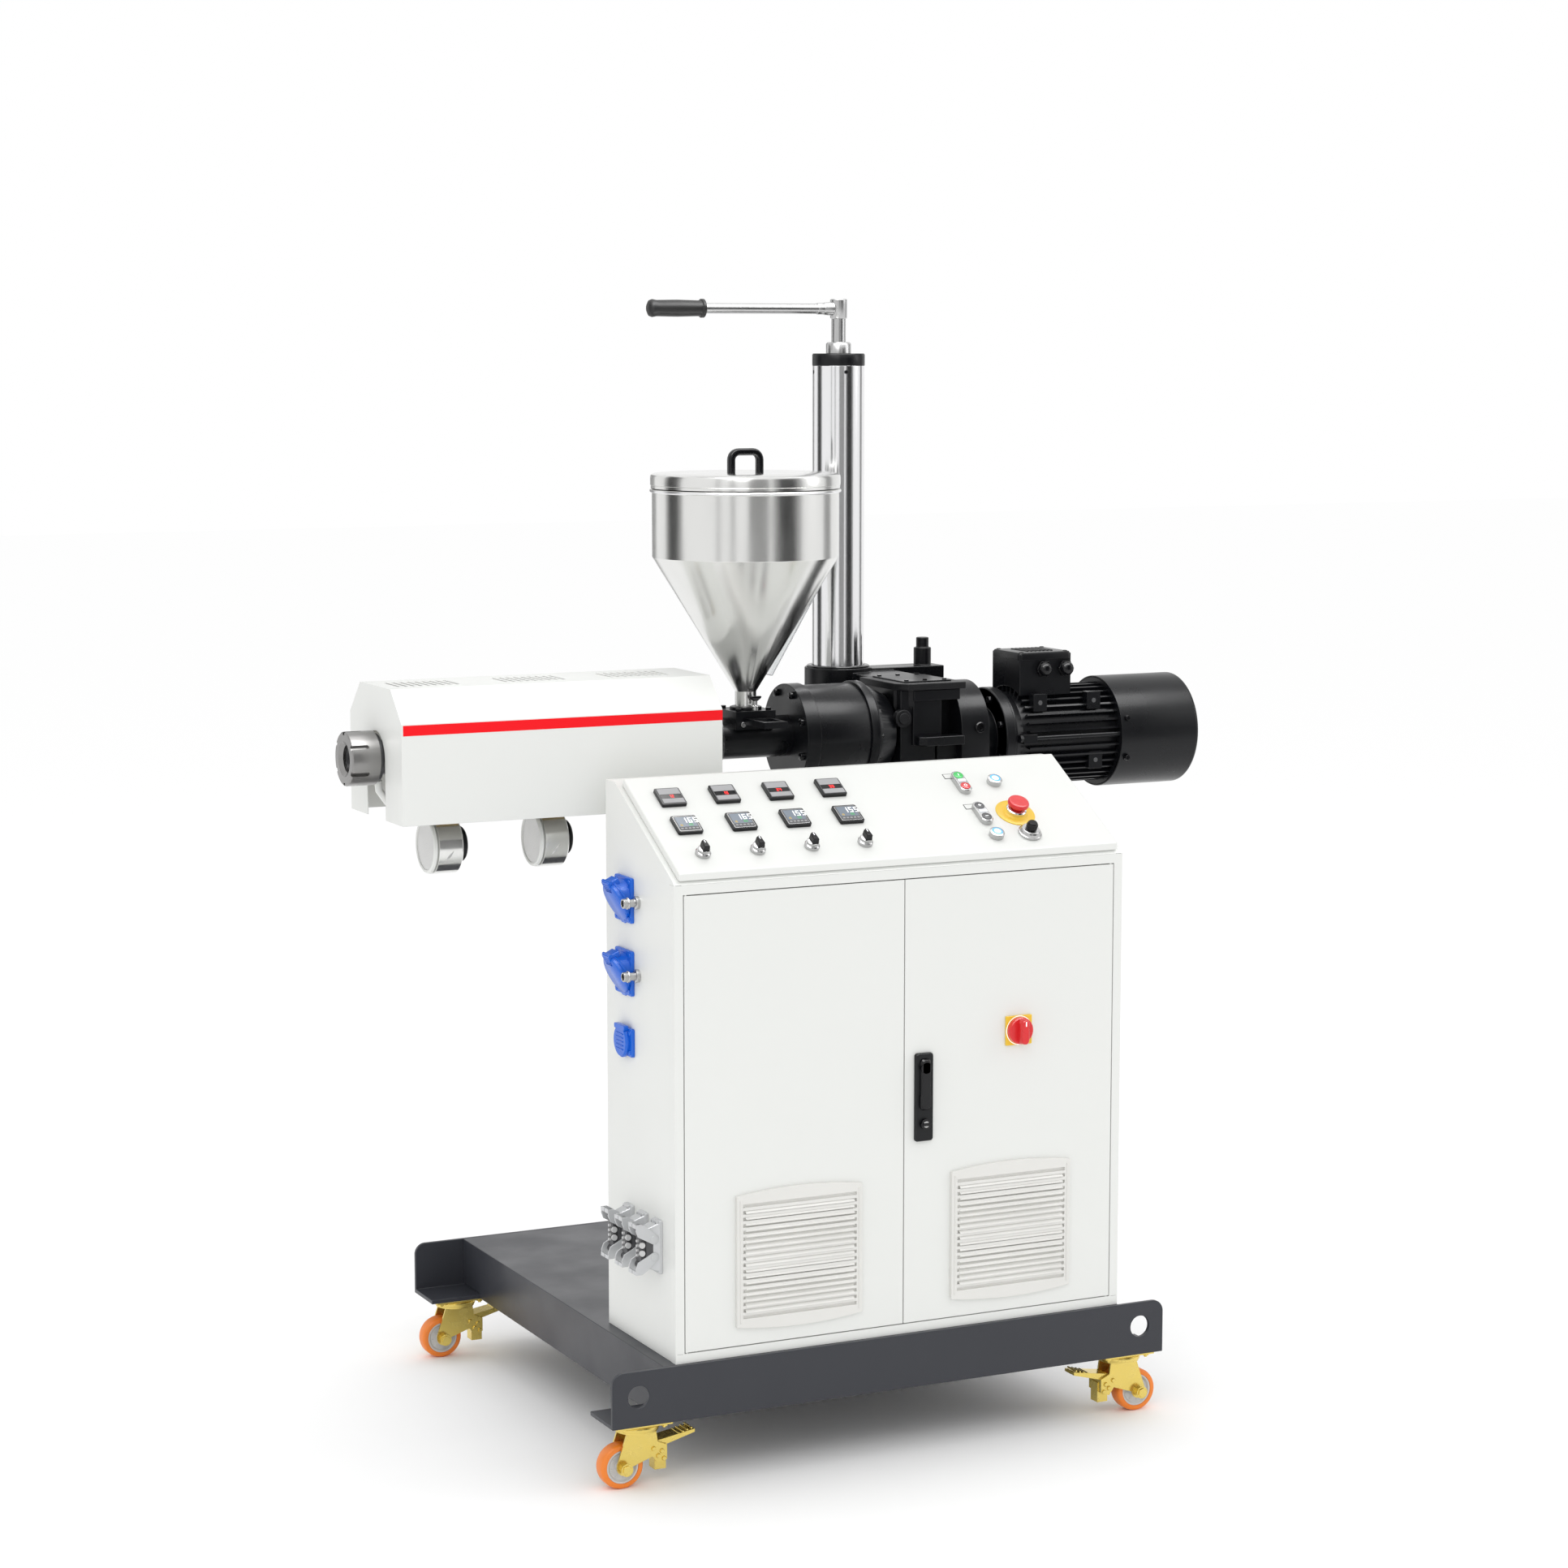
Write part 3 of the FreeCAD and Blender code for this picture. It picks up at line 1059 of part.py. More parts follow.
def drive():
    """Gear drum, gear housing, motor flange, finned motor, fan cover and terminal box."""
    y, z = "axis_setback", "axis_height"
    flange = rod("gear_flange_radius", "gear_flange_length", "gear_x", y, z, ALONG_X)
    drum = rod("gear_drum_radius", "gear_drum_length", "drum_x", y, z, ALONG_X)
    taper = cone("gear_drum_radius", "gear_drum_radius - gear_taper_drop", "gear_taper",
                 "taper_x", y, z, ALONG_X)
    sub_part("gear_drum", join(flange, drum, taper))

    box = block("gear_box_length", "gear_box_width", "gear_box_height",
                "box_x", f"{y} - gear_box_width / 2", f"{z} - gear_box_drop")
    collar = rod("input_flange_radius", "input_flange_length", "input_x", y, z, ALONG_X)
    sub_part("gear_housing", join(box, collar))

    height = "motor_height"
    neck = rod("adapter_neck_radius", "adapter_gap", "input_end", y, height, ALONG_X)
    bell = rod("adapter_radius", "adapter_length", "adapter_x", y, height, ALONG_X)
    sub_part("motor_flange", join(neck, bell))

    core = rod("motor_core_radius", "motor_cone + motor_length", "motor_x", y, height, ALONG_X)
    fins = []
    for index in range(int(number("fin_count"))):
        fin = group(block("motor_length", "fin_width", "motor_radius - motor_core_radius + fin_root",
                          "0", "-fin_width / 2", "motor_core_radius - fin_root"))
        turn = Rotation(Vector(1, 0, 0), index * 360 / number("fin_count"))
        fin.Placement = FreeCAD.Placement(Vector(), turn)
        fins.append(fin)
    finned = put(group(*fins), "fin_x", y, height)
    shield = rod("fan_cover_radius - fan_cover_sheet - swivel_clearance", "end_shield_length",
                 "fan_x", y, height, ALONG_X)
    sub_part("motor_body", join(core, finned, shield))

    cover = cut(
        rounded(rod("fan_cover_radius", "fan_cover_length", "fan_x", y, height, ALONG_X),
                "fan_cover_round", lambda edge: edge.BoundBox.XMin > number("machine_end - overrun")),
        rod("fan_cover_radius - fan_cover_sheet", "fan_cover_length - fan_cover_sheet",
            "fan_x - seat", y, height, ALONG_X))
    sub_part("fan_cover", cover)

    terminal = block("terminal_length", "terminal_width", "terminal_height",
                     "motor_x + terminal_start", f"{y} - terminal_width / 2",
                     f"{height} + motor_radius - terminal_sink")
    saddle = rod("motor_radius + swivel_clearance", "2 * terminal_length", "motor_x", y, height,
                 ALONG_X)
    sub_part("terminal_box", cut(terminal, saddle))


# ---- column ----------------------------------------------------------------------

def column():
    """Column with its foot and cap, the carriage that slides on it, and the crank."""
    x, y = "column_x", "column_setback"
    tube = cut(rod("column_radius", "column_height - foot_height", x, y, "deck_top + foot_height"),
               rod("column_radius - column_wall", "column_height + 2 * overrun", x, y,
                   "deck_top - overrun"))
    sub_part("column_tube", tube)
    sub_part("column_foot", rod("foot_radius", "foot_height", x, y, "deck_top"))
    sub_part("column_cap", join(
        rod("column_radius", "cap_height", x, y, "column_top"),
        rod("bearing_radius", "bearing_height", x, y, "bearing_z"),
        rod("spindle_radius", "spindle_reach", x, y, "spindle_z")))

    collar_z = "axis_height + collar_top - collar_height"
    collar = rod("collar_radius", "collar_height", x, y, collar_z)
    saddle_y = "axis_setback + gear_box_width / 2"
    saddle = block("input_x - column_x", f"{y} - ({saddle_y})", f"gear_box_top - ({collar_z})",
                   x, saddle_y, collar_z)
    end_top = "axis_height + collar_top - saddle_step"
    end = block("saddle_reach", "saddle_thickness", "saddle_height",
                x, f"{y} - saddle_thickness / 2", f"{end_top} - saddle_height")
    pin_x = f"{x} + clamp_pin_offset"
    pin = rod("clamp_pin_radius", "clamp_pin_rise + saddle_step", pin_x, y,
              f"{end_top} - saddle_step")
    pin_head = rod("clamp_hex_radius", "clamp_hex_rise", pin_x, y, f"{end_top} + clamp_pin_rise")
    bore = rod("column_radius + carriage_clearance", "2 * collar_height", x, y,
               f"{collar_z} - collar_height / 2")
    sub_part("carriage", cut(join(collar, saddle, end, pin, pin_head), bore))

    foot_z = "crank_z + swivel_clearance"
    arm_z = f"{foot_z} + crank_head_height / 2"
    boss = rod("crank_head_radius", "crank_head_height", x, y, foot_z)
    inside = f"{x} - arm_length + crank_grip_length / 2"
    arm = rod("arm_radius", "arm_length - crank_grip_length / 2", inside, y, arm_z, ALONG_X)
    sub_part("crank_arm", join(boss, arm))
    grip = cut(rod("crank_grip_radius", "crank_grip_length", f"{x} - arm_length", y, arm_z, ALONG_X),
               rod("arm_radius + pin_clearance", "crank_grip_length", inside, y, arm_z, ALONG_X))
    sub_part("crank_grip", grip)


for build in (base, casters, cabinet, doors, console, side_connectors, shroud, barrel,
              feed_section, hopper, drive, column):
    build()
doc.recompute()

faults = [f"{item.Name}: {item.State}" for item in doc.Objects
          if "Invalid" in item.State or "Error" in item.State]
faults += [f"{piece.Label}: no valid shape" for piece in sub_parts
           if piece.Shape.isNull() or not piece.Shape.isValid()]
if faults:
    raise RuntimeError("; ".join(faults))

os.makedirs("parts", exist_ok=True)
for piece in sub_parts:
    piece.Shape.exportStep(f"parts/{piece.Label}.step")
    print(piece.Label, len(piece.Shape.Solids), round(piece.Shape.Volume))
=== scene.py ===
import json
import math
from functools import partial

import bmesh
import bpy
from mathutils import Matrix, Vector


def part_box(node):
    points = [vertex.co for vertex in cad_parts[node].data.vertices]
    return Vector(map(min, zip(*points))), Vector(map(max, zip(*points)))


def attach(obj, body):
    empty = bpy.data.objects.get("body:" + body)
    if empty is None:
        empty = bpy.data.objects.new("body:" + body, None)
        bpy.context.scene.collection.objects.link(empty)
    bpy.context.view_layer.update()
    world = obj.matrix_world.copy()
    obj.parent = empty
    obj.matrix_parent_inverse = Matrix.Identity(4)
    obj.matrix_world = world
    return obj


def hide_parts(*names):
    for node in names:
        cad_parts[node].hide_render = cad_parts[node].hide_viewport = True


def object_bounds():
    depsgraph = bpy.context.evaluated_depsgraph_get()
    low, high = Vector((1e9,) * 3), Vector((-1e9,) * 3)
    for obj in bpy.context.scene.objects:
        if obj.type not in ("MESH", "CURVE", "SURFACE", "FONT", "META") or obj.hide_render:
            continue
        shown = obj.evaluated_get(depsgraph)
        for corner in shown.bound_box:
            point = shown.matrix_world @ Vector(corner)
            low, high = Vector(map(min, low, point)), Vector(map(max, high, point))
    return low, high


# Looks of a mobile plastic extruder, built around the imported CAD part.
# The part's own frame is in metres: +X towards the motor, -Y the door side, +Z up.
# Shapes are drawn in millimetres.

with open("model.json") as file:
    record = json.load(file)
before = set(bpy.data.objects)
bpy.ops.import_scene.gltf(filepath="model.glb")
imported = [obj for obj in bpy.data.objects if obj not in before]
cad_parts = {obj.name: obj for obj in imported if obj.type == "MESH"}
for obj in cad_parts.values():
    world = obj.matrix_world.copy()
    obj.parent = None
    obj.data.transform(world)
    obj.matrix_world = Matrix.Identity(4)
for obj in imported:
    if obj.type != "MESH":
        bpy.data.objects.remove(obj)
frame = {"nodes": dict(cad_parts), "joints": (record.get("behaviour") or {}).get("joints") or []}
cad_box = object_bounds()
MM = 0.001
X, Y, Z = Vector((1, 0, 0)), Vector((0, 1, 0)), Vector((0, 0, 1))
IN_FRAME = Matrix.Identity(4)


# ---- materials -------------------------------------------------------------------

SURFACES = {}


def add_node(surface, kind, **values):
    """A shader node with values set on its inputs."""
    node = surface.node_tree.nodes.new("ShaderNode" + kind)
    for name, value in values.items():
        node.inputs[name.replace("_", " ")].default_value = value
    return node


def surface_grain(surface, vector, size, depth):
    """Fine noise that bumps the surface."""
    shader = surface.node_tree.nodes["Principled BSDF"]
    links = surface.node_tree.links
    grain = add_node(surface, "TexNoise", Scale=1 / size, Detail=3)
    bump = add_node(surface, "Bump", Distance=depth, Strength=1)
    links.new(vector, grain.inputs["Vector"])
    links.new(grain.outputs["Fac"], bump.inputs["Height"])
    links.new(bump.outputs["Normal"], shader.inputs["Normal"])


def material(name, colour, roughness, metallic=0.0, spread=0.08, cloud=0.12, tint=None, bump=0,
             grain=0.0015, stretch=(1, 1, 1), coat=0.0, shine=0.5, glow=None, clear=0):
    """A procedural surface with cloudy colour and roughness and a fine grain.

    tint is the second colour, cloud and grain are sizes in metres, bump is the grain's depth in
    metres, spread is how far the roughness swings, and shine is the mirror strength.
    """
    surface = bpy.data.materials.new(name)
    surface.use_nodes = True
    links = surface.node_tree.links
    sockets = surface.node_tree.nodes["Principled BSDF"].inputs
    sockets["Metallic"].default_value = metallic
    sockets["Coat Weight"].default_value = coat
    sockets["Coat Roughness"].default_value = 0.12
    sockets["Specular IOR Level"].default_value = shine
    sockets["Transmission Weight"].default_value = clear
    if glow:
        sockets["Emission Color"].default_value = (*colour, 1)
        sockets["Emission Strength"].default_value = glow
    place = add_node(surface, "TexCoord")
    scaled = add_node(surface, "Mapping", Scale=stretch)
    clouds = add_node(surface, "TexNoise", Scale=1 / cloud, Detail=5)
    rough = add_node(surface, "MapRange", From_Min=0.3, From_Max=0.7,
                     To_Min=max(0.02, roughness - spread), To_Max=min(1.0, roughness + spread))
    tone = add_node(surface, "Mix")
    tone.data_type = "RGBA"
    factor, first, second, blend = tone.inputs[0], tone.inputs[6], tone.inputs[7], tone.outputs[2]
    first.default_value = (*colour, 1)
    second.default_value = (*(tint or [c * 0.93 for c in colour]), 1)
    links.new(place.outputs["Object"], scaled.inputs["Vector"])
    links.new(scaled.outputs["Vector"], clouds.inputs["Vector"])
    links.new(clouds.outputs["Fac"], rough.inputs["Value"])
    links.new(rough.outputs["Result"], sockets["Roughness"])
    links.new(clouds.outputs["Fac"], factor)
    links.new(blend, sockets["Base Color"])
    if bump:
        surface_grain(surface, scaled.outputs["Vector"], grain, bump)
    SURFACES[name] = surface


def metals():
    """Painted, plated, cast and polished metals."""
    material("dark_steel", (0.030, 0.032, 0.040), 0.36, spread=0.07, bump=0.00003, grain=0.0012,
             shine=0.42, tint=(0.034, 0.036, 0.044))
    material("white_paint", (0.775, 0.785, 0.762), 0.40, spread=0.05, bump=0.00002, grain=0.0011,
             tint=(0.76, 0.77, 0.747))
    material("yellow_zinc", (0.80, 0.60, 0.13), 0.25, metallic=0.85, spread=0.05, cloud=0.02,
             tint=(0.80, 0.64, 0.20), bump=0.00001)
    material("black_paint", (0.0040, 0.0044, 0.0058), 0.30, spread=0.06, bump=0.00003, grain=0.0016,
             shine=0.28)
    material("cast_black", (0.006, 0.0063, 0.0075), 0.42, bump=0.0004, grain=0.0030, shine=0.28)
    material("grey_casting", (0.60, 0.61, 0.62), 0.38, metallic=0.3, bump=0.00006, grain=0.002)
    material("polished_steel", (0.78, 0.78, 0.765), 0.20, metallic=1.0, spread=0.04, cloud=0.05,
             stretch=(1, 1, 0.25), bump=0.000006, grain=0.003)
    material("chrome", (0.86, 0.86, 0.87), 0.13, metallic=1.0, spread=0.02)
    material("satin_steel", (0.52, 0.52, 0.52), 0.26, metallic=1.0, spread=0.06, bump=0.00001,
             grain=0.001)
    material("dark_machined", (0.10, 0.10, 0.105), 0.30, metallic=0.9, bump=0.00002)
    material("brass_band", (0.55, 0.42, 0.22), 0.35, metallic=1.0, spread=0.1)
    material("red_paint", (0.93, 0.003, 0.010), 0.42, shine=0.2)
    material("perforated", (0.74, 0.74, 0.73), 0.42, metallic=0.35, bump=0.0006, grain=0.0022)
    material("nut_steel", (0.30, 0.295, 0.29), 0.28, metallic=1.0, spread=0.06, bump=0.00001,
             grain=0.001)


def plastics():
    """Mouldings, tyres, grips, displays and lamps."""
    material("vent_plastic", (0.76, 0.755, 0.725), 0.48, bump=0.00002, grain=0.0008)
    material("orange_tread", (0.88, 0.25, 0.02), 0.40, bump=0.00002, tint=(0.82, 0.20, 0.025))
    material("black_plastic", (0.008, 0.009, 0.010), 0.32, bump=0.00001, shine=0.3)
    material("gloss_black", (0.004, 0.004, 0.005), 0.14, shine=0.35, spread=0.03)
    material("blue_plastic", (0.004, 0.125, 0.66), 0.28, bump=0.00001, tint=(0.004, 0.110, 0.60),
             shine=0.45)
    material("red_plastic", (0.72, 0.016, 0.02), 0.28, coat=0.2)
    material("yellow_plastic", (0.86, 0.56, 0.03), 0.36)
    # Glows for real on the controller's output digits; on the green start key, which is no lamp, the glow
    # is painted glow.
    material("green_plastic", (0.04, 0.50, 0.10), 0.32, glow=0.15)
    material("grey_plastic", (0.36, 0.36, 0.37), 0.42)
    material("dark_grey", (0.075, 0.076, 0.08), 0.42)
    material("hub_grey", (0.60, 0.60, 0.60), 0.42)
    material("black_rubber", (0.009, 0.009, 0.009), 0.42, bump=0.00002)
    material("clear_strip", (0.92, 0.94, 0.95), 0.08, clear=0.9)
    material("lamp_white", (0.85, 0.88, 0.92), 0.3, glow=0.25)
    material("lamp_blue", (0.10, 0.42, 0.85), 0.3, glow=0.5)
    material("display", (0.16, 0.19, 0.23), 0.2, glow=0.3)
    # Glows for real on the controller digits; on the white marks of the main switch, its scale, the
    # selector lines and the key signs the same glow is painted glow.
    material("white_lit_digits_and_painted_glow_marks", (0.95, 0.96, 0.97), 0.4, glow=0.5)
    material("digit_red", (0.95, 0.02, 0.02), 0.4, glow=1.2)


metals()
plastics()


# ---- shapes ----------------------------------------------------------------------

def laid_out(axis, a, b, along):
    """A point from two coordinates across an axis and one along it."""
    return {"x": (along, a, b), "y": (a, along, b), "z": (a, b, along)}[axis]


class Piece:
    """A mesh drawn in millimetres that rides on one CAD body; place maps it to the part's frame."""

    def __init__(self, body, name, surface, slot=None, stands_for=(), place=IN_FRAME):
        self.name, self.body, self.surface = name, body, surface
        self.slot = slot or surface
        self.place = place
        self.stands_for = stands_for
        self.mesh = bmesh.new()

    def row(self, points):
        """New corners of the mesh."""
        return [self.mesh.verts.new(self.place @ Vector(point)) for point in points]

    def patch(self, rings):
        """Skins a list of rings of points and caps both ends."""
        rows = [self.row(ring) for ring in rings]
        count = len(rows[0])
        for low, high in zip(rows, rows[1:]):
            for index in range(count):
                after = (index + 1) % count
                self.mesh.faces.new((low[index], low[after], high[after], high[index]))
        self.mesh.faces.new(list(reversed(rows[0])))
        self.mesh.faces.new(rows[-1])
        return self

    def stack(self, outlines, axis="z"):
        """Skins (height, outline) pairs along an axis; outlines are (y, z), (x, z) or (x, y)."""
        return self.patch([[laid_out(axis, a, b, height) for a, b in outline]
                           for height, outline in outlines])

    def prism(self, outline, low, high, axis="z"):
        """An outline extruded along an axis."""
        return self.stack([(low, outline), (high, outline)], axis)

    def box(self, low, high):
        """A block between two corners."""
        (x0, y0, z0), (x1, y1, z1) = low, high
        return self.prism([(x0, y0), (x1, y0), (x1, y1), (x0, y1)], z0, z1)

    def lathe(self, profile, centre=(0, 0, 0), axis="z", steps=64):
        """A closed profile of (radius, along) points turned about an axis through the centre."""
        def point(radius, along, angle):
            a, b = radius * math.cos(angle), radius * math.sin(angle)
            turned = (b, along, a) if axis == "y" else laid_out(axis, a, b, along)
            return Vector(centre) + Vector(turned)
        angles = [2 * math.pi * step / steps for step in range(steps)]
        rows = [self.row([point(radius, along, angle) for angle in (angles if radius else [0])])
                for radius, along in profile]
        ends = [(rows[-1], rows[0])] if len(rows[0]) > 1 and len(rows[-1]) > 1 else []
        for low, high in list(zip(rows, rows[1:])) + ends:
            for index in range(steps):
                after = (index + 1) % steps
                corners = [low[index % len(low)], low[after % len(low)],
                           high[after % len(high)], high[index % len(high)]]
                corners = list(dict.fromkeys(corners))
                if len(corners) > 2:
                    self.mesh.faces.new(corners)
        return self

    def turned(self, profile, centre=(0, 0, 0), axis="z", steps=64):
        """A solid of revolution: the profile is closed onto the axis."""
        return self.lathe([(0, profile[0][1])] + profile + [(0, profile[-1][1])], centre, axis, steps)

    def rod(self, radius, low, high, centre=(0, 0, 0), axis="z", steps=48):
        """A cylinder between two places along its axis."""
        return self.turned([(radius, low), (radius, high)], centre, axis, steps)

    def tube(self, points, radius, steps=20):
        """A round bar through points, with flat ends."""
        points = [Vector(point) for point in points]
        side = None
        rings = []
        for here, along in zip(points, directions(points)):
            side = side or (Y if abs(along.y) < 0.9 else Z)
            side = (side - along * side.dot(along)).normalized()
            up = along.cross(side)
            rings.append([here + (side * a + up * b) * radius for a, b in ring_of(1, count=steps)])
        return self.patch(rings)

    def done(self, bevel=0.6, segments=2, smooth=40):
        """Turns the drawing into an object with softened edges, riding on its body."""
        bmesh.ops.recalc_face_normals(self.mesh, faces=self.mesh.faces)
        data = bpy.data.meshes.new(self.name)
        self.mesh.transform(Matrix.Scale(MM, 4))
        self.mesh.to_mesh(data)
        self.mesh.free()
        piece = bpy.data.objects.new(self.name, data)
        bpy.context.scene.collection.objects.link(piece)
        data.materials.append(SURFACES[self.surface])
        soften(piece, bevel, segments, smooth)
        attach(piece, self.body)
        if self.stands_for:
            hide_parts(*self.stands_for)


on_base = partial(Piece, "base")
on_extruder = partial(Piece, "extruder")
on_drive = partial(Piece, "extruder", slot="black_paint")


def soften(piece, bevel, segments=2, smooth=40):
    """Smooth shading with a small rounding on the edges sharper than the smooth angle."""
    piece.data.shade_smooth()
    if bevel:
        edge = piece.modifiers.new("edges", "BEVEL")
        edge.width = bevel * MM
        edge.segments = segments
        edge.limit_method = "ANGLE"
        edge.angle_limit = math.radians(smooth)
        edge.harden_normals = True
        edge.use_clamp_overlap = True
    else:
        piece.data.set_sharp_from_angle(angle=math.radians(smooth))


def keep(node, surface, bevel=0.8, segments=2, flatten=True):
    """Shows a CAD node as it is, with a surface and softened edges."""
    piece = frame["nodes"][node]
    piece.data.materials.clear()
    piece.data.materials.append(SURFACES[surface])
    normals = piece.data.attributes.get("custom_normal")
    if normals:
        piece.data.attributes.remove(normals)
    weld = piece.modifiers.new("weld", "WELD")
    weld.merge_threshold = 0.00001
    if flatten:
        flats = piece.modifiers.new("flats", "DECIMATE")
        flats.decimate_type = "DISSOLVE"
        flats.angle_limit = math.radians(0.5)
    soften(piece, bevel, segments, 30)


def corners_of(node):
    """Corners of a CAD node's mesh, in millimetres."""
    return [vertex.co / MM for vertex in frame["nodes"][node].data.vertices]


def span(node):
    """Lowest and highest corner of a CAD node, in millimetres."""
    low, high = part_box(node)
    return low / MM, high / MM


def solids(node, place=IN_FRAME):
    """Corners (low, high) of each separate solid of a CAD node, seen from a place, left to right."""
    root = {}
    keys = [tuple(round(value * 50) for value in corner) for corner in corners_of(node)]

    def find(key):
        while root[key] != key:
            root[key] = root[root[key]]
            key = root[key]
        return key

    for polygon in frame["nodes"][node].data.polygons:
        joined = [keys[index] for index in polygon.vertices]
        for key in joined:
            root.setdefault(key, key)
        for key in joined[1:]:
            root[find(key)] = find(joined[0])
    back = place.inverted()
    boxes = {}
    for key, corner in zip(keys, corners_of(node)):
        if key in root:
            spot = back @ corner
            low, high = boxes.setdefault(find(key), (spot.copy(), spot.copy()))
            for axis in range(3):
                low[axis] = min(low[axis], spot[axis])
                high[axis] = max(high[axis], spot[axis])
    return sorted(boxes.values(), key=lambda box: (round(box[0].x), round(box[0].z), box[0].y))


def middle(box):
    """Centre of a (low, high) box."""
    return (box[0] + box[1]) / 2


def directions(points):
    """The way a path runs at each of its points."""
    return [(after - before).normalized()
            for before, after in zip(points[:1] + points[:-1], points[1:] + points[-1:])]


def round_box(width, height, radius, centre=(0, 0), steps=5):
    """Outline of a rectangle with rounded corners."""
    points = []
    for turn, (sx, sy) in enumerate(((1, 1), (-1, 1), (-1, -1), (1, -1))):
        for step in range(steps + 1):
            angle = math.pi / 2 * (turn + step / steps)
            points.append((centre[0] + sx * (width / 2 - radius) + radius * math.cos(angle),
                           centre[1] + sy * (height / 2 - radius) + radius * math.sin(angle)))
    return points


def ring_of(radius, centre=(0, 0), count=6, start=0.0):
    """Points evenly round a circle."""
    return [(centre[0] + radius * math.cos(start + 2 * math.pi * k / count),
             centre[1] + radius * math.sin(start + 2 * math.pi * k / count)) for k in range(count)]


def mirrored(profile):
    """A profile on one side of a wheel, and its mirror image on the other side."""
    return profile + [(radius, -along) for radius, along in reversed(profile)]


def joint(name):
    """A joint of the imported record."""
    return next(entry for entry in frame["joints"] if entry["name"] == name)


def pivot_of(name):
    """A point on a joint's axis, in millimetres."""
    return Vector(joint(name)["pos_m"]) / MM


# ---- base and casters ------------------------------------------------------------

def base():
    """Base angles and platform, with the bolts that hold the caster plates."""
    for name in ("base_front_angle", "base_rear_angle", "platform"):
        keep(name, "dark_steel", 1.2)
    keep("caster_plates", "yellow_zinc", 0.6)
    bolts = on_base("caster_bolts", "yellow_zinc")
    for low, high in solids("caster_plates"):
        for x in (low.x + 12, high.x - 12):
            for y in (low.y + 11, high.y - 11):
                bolts.prism(ring_of(6.5, (x, y)), low.z - 4, low.z)
                bolts.rod(3, low.z - 7, low.z - 4, (x, y, 0), steps=16)
    bolts.done(0.3)


def caster(corner):
    """Zinc fork, orange tyre on a grey hub, and the brake."""
    keep("caster_fork_" + corner, "yellow_zinc", 0.9)
    low, high = span("caster_wheel_" + corner)
    centre, radius, half = (low + high) / 2, (high.z - low.z) / 2, (high.y - low.y) / 2
    pivot = pivot_of("caster_swivel_" + corner)
    side = 1 if pivot.x > centre.x else -1
    wheel(corner, centre, radius, half)
    fork_trim(corner, centre, half, pivot, side)
    pedal_ribs(corner, centre.z, pivot.y, side)


def wheel(corner, centre, radius, half):
    """Tyre with rounded shoulders on a ribbed hub."""
    turning = partial(Piece, "wheel_" + corner)
    tyre = turning("tyre_" + corner, "orange_tread", None, ["caster_wheel_" + corner])
    tyre.lathe(mirrored([(radius - 10, -half), (radius - 3.5, -half), (radius - 1, 2 - half),
                         (radius, 6 - half)]), centre, "y")
    tyre.done(0.8)
    hub = turning("hub_" + corner, "hub_grey", "grey_plastic")
    inner = half - 5
    hub.lathe(mirrored([(5.2, -half), (11, -half), (12.5, -inner), (radius - 16, -inner),
                        (radius - 13, 1 - half), (radius - 10, 1 - half)]), centre, "y")
    for x, z in ring_of(radius - 20, (centre.x, centre.z), 8, 0.2):
        hub.rod(2.2, -inner - 1, inner + 1, (x, centre.y, z), "y", 12)
    hub.done(0.5)


def fork_trim(corner, centre, half, pivot, side):
    """Hex axle, washers, race ring and the rivets of the brake."""
    low, high = span("caster_fork_" + corner)
    trim = Piece("swivel_" + corner, "caster_trim_" + corner, "yellow_zinc")
    out = (high.y - low.y) / 2
    trim.prism(ring_of(9, (centre.x, centre.z), start=0.3), centre.y - out, centre.y + out, "y")
    for face in (3.4 - out, out - 3.4):
        trim.rod(11.5, face - 0.8, face + 0.8, centre, "y")
    trim.lathe([(30, -11), (39.6, -11), (40.6, -8), (40.6, -4), (39, -1.5), (30, -1.5)],
               (pivot.x, pivot.y, high.z))
    for x, z in ((24, 28), (40, 22), (44, 8), (33, 14)):
        for face in (-1, 1):
            end = face * (half + 10)
            trim.turned([(3.4, end), (4.4, end - 2 * face), (4.4, end - 10 * face)],
                        (pivot.x + side * x, pivot.y, centre.z + z), "y", 20)
    trim.done(0.5)


def pedal_ribs(corner, axle_z, y, side):
    """Ribs across the brake pedal."""
    low, high = span("caster_fork_" + corner)
    ribs = Piece("swivel_" + corner, "pedal_ribs_" + corner, "yellow_zinc")
    tip = high.x if side > 0 else low.x
    for index in range(4):
        x, z = tip - side * (6 + 8 * index), axle_z + 53.5 - 2.2 * index
        ribs.tube([(x, y - 16, z), (x, y + 16, z)], 1.6, 12)
    ribs.done(0)


base()
for place in ("front_left", "front_right", "rear_left", "rear_right"):
    caster(place)


# ---- cabinet ---------------------------------------------------------------------

def cabinet():
    """Cabinet sheets, doors and grilles."""
    keep("cabinet_shell", "white_paint", 0.9)
    keep("cabinet_front_frame", "white_paint", 0.6)
    keep("door_left", "white_paint", 1.4)
    keep("door_right", "white_paint", 1.4)
    keep("console_lid", "white_paint", 3.2, 3)
    for side in ("left", "right"):
        grille(side)
    seams = on_base("frame_seams", "dark_grey", "white_paint")
    low, high = span("cabinet_front_frame")
    for x in (low.x, high.x - 17):
        for z in (low.z, high.z - 17):
            seams.box((x + 3, low.y - 0.06, z + 16.8), (x + 14, low.y + 0.1, z + 17.2))
    seams.done(0)


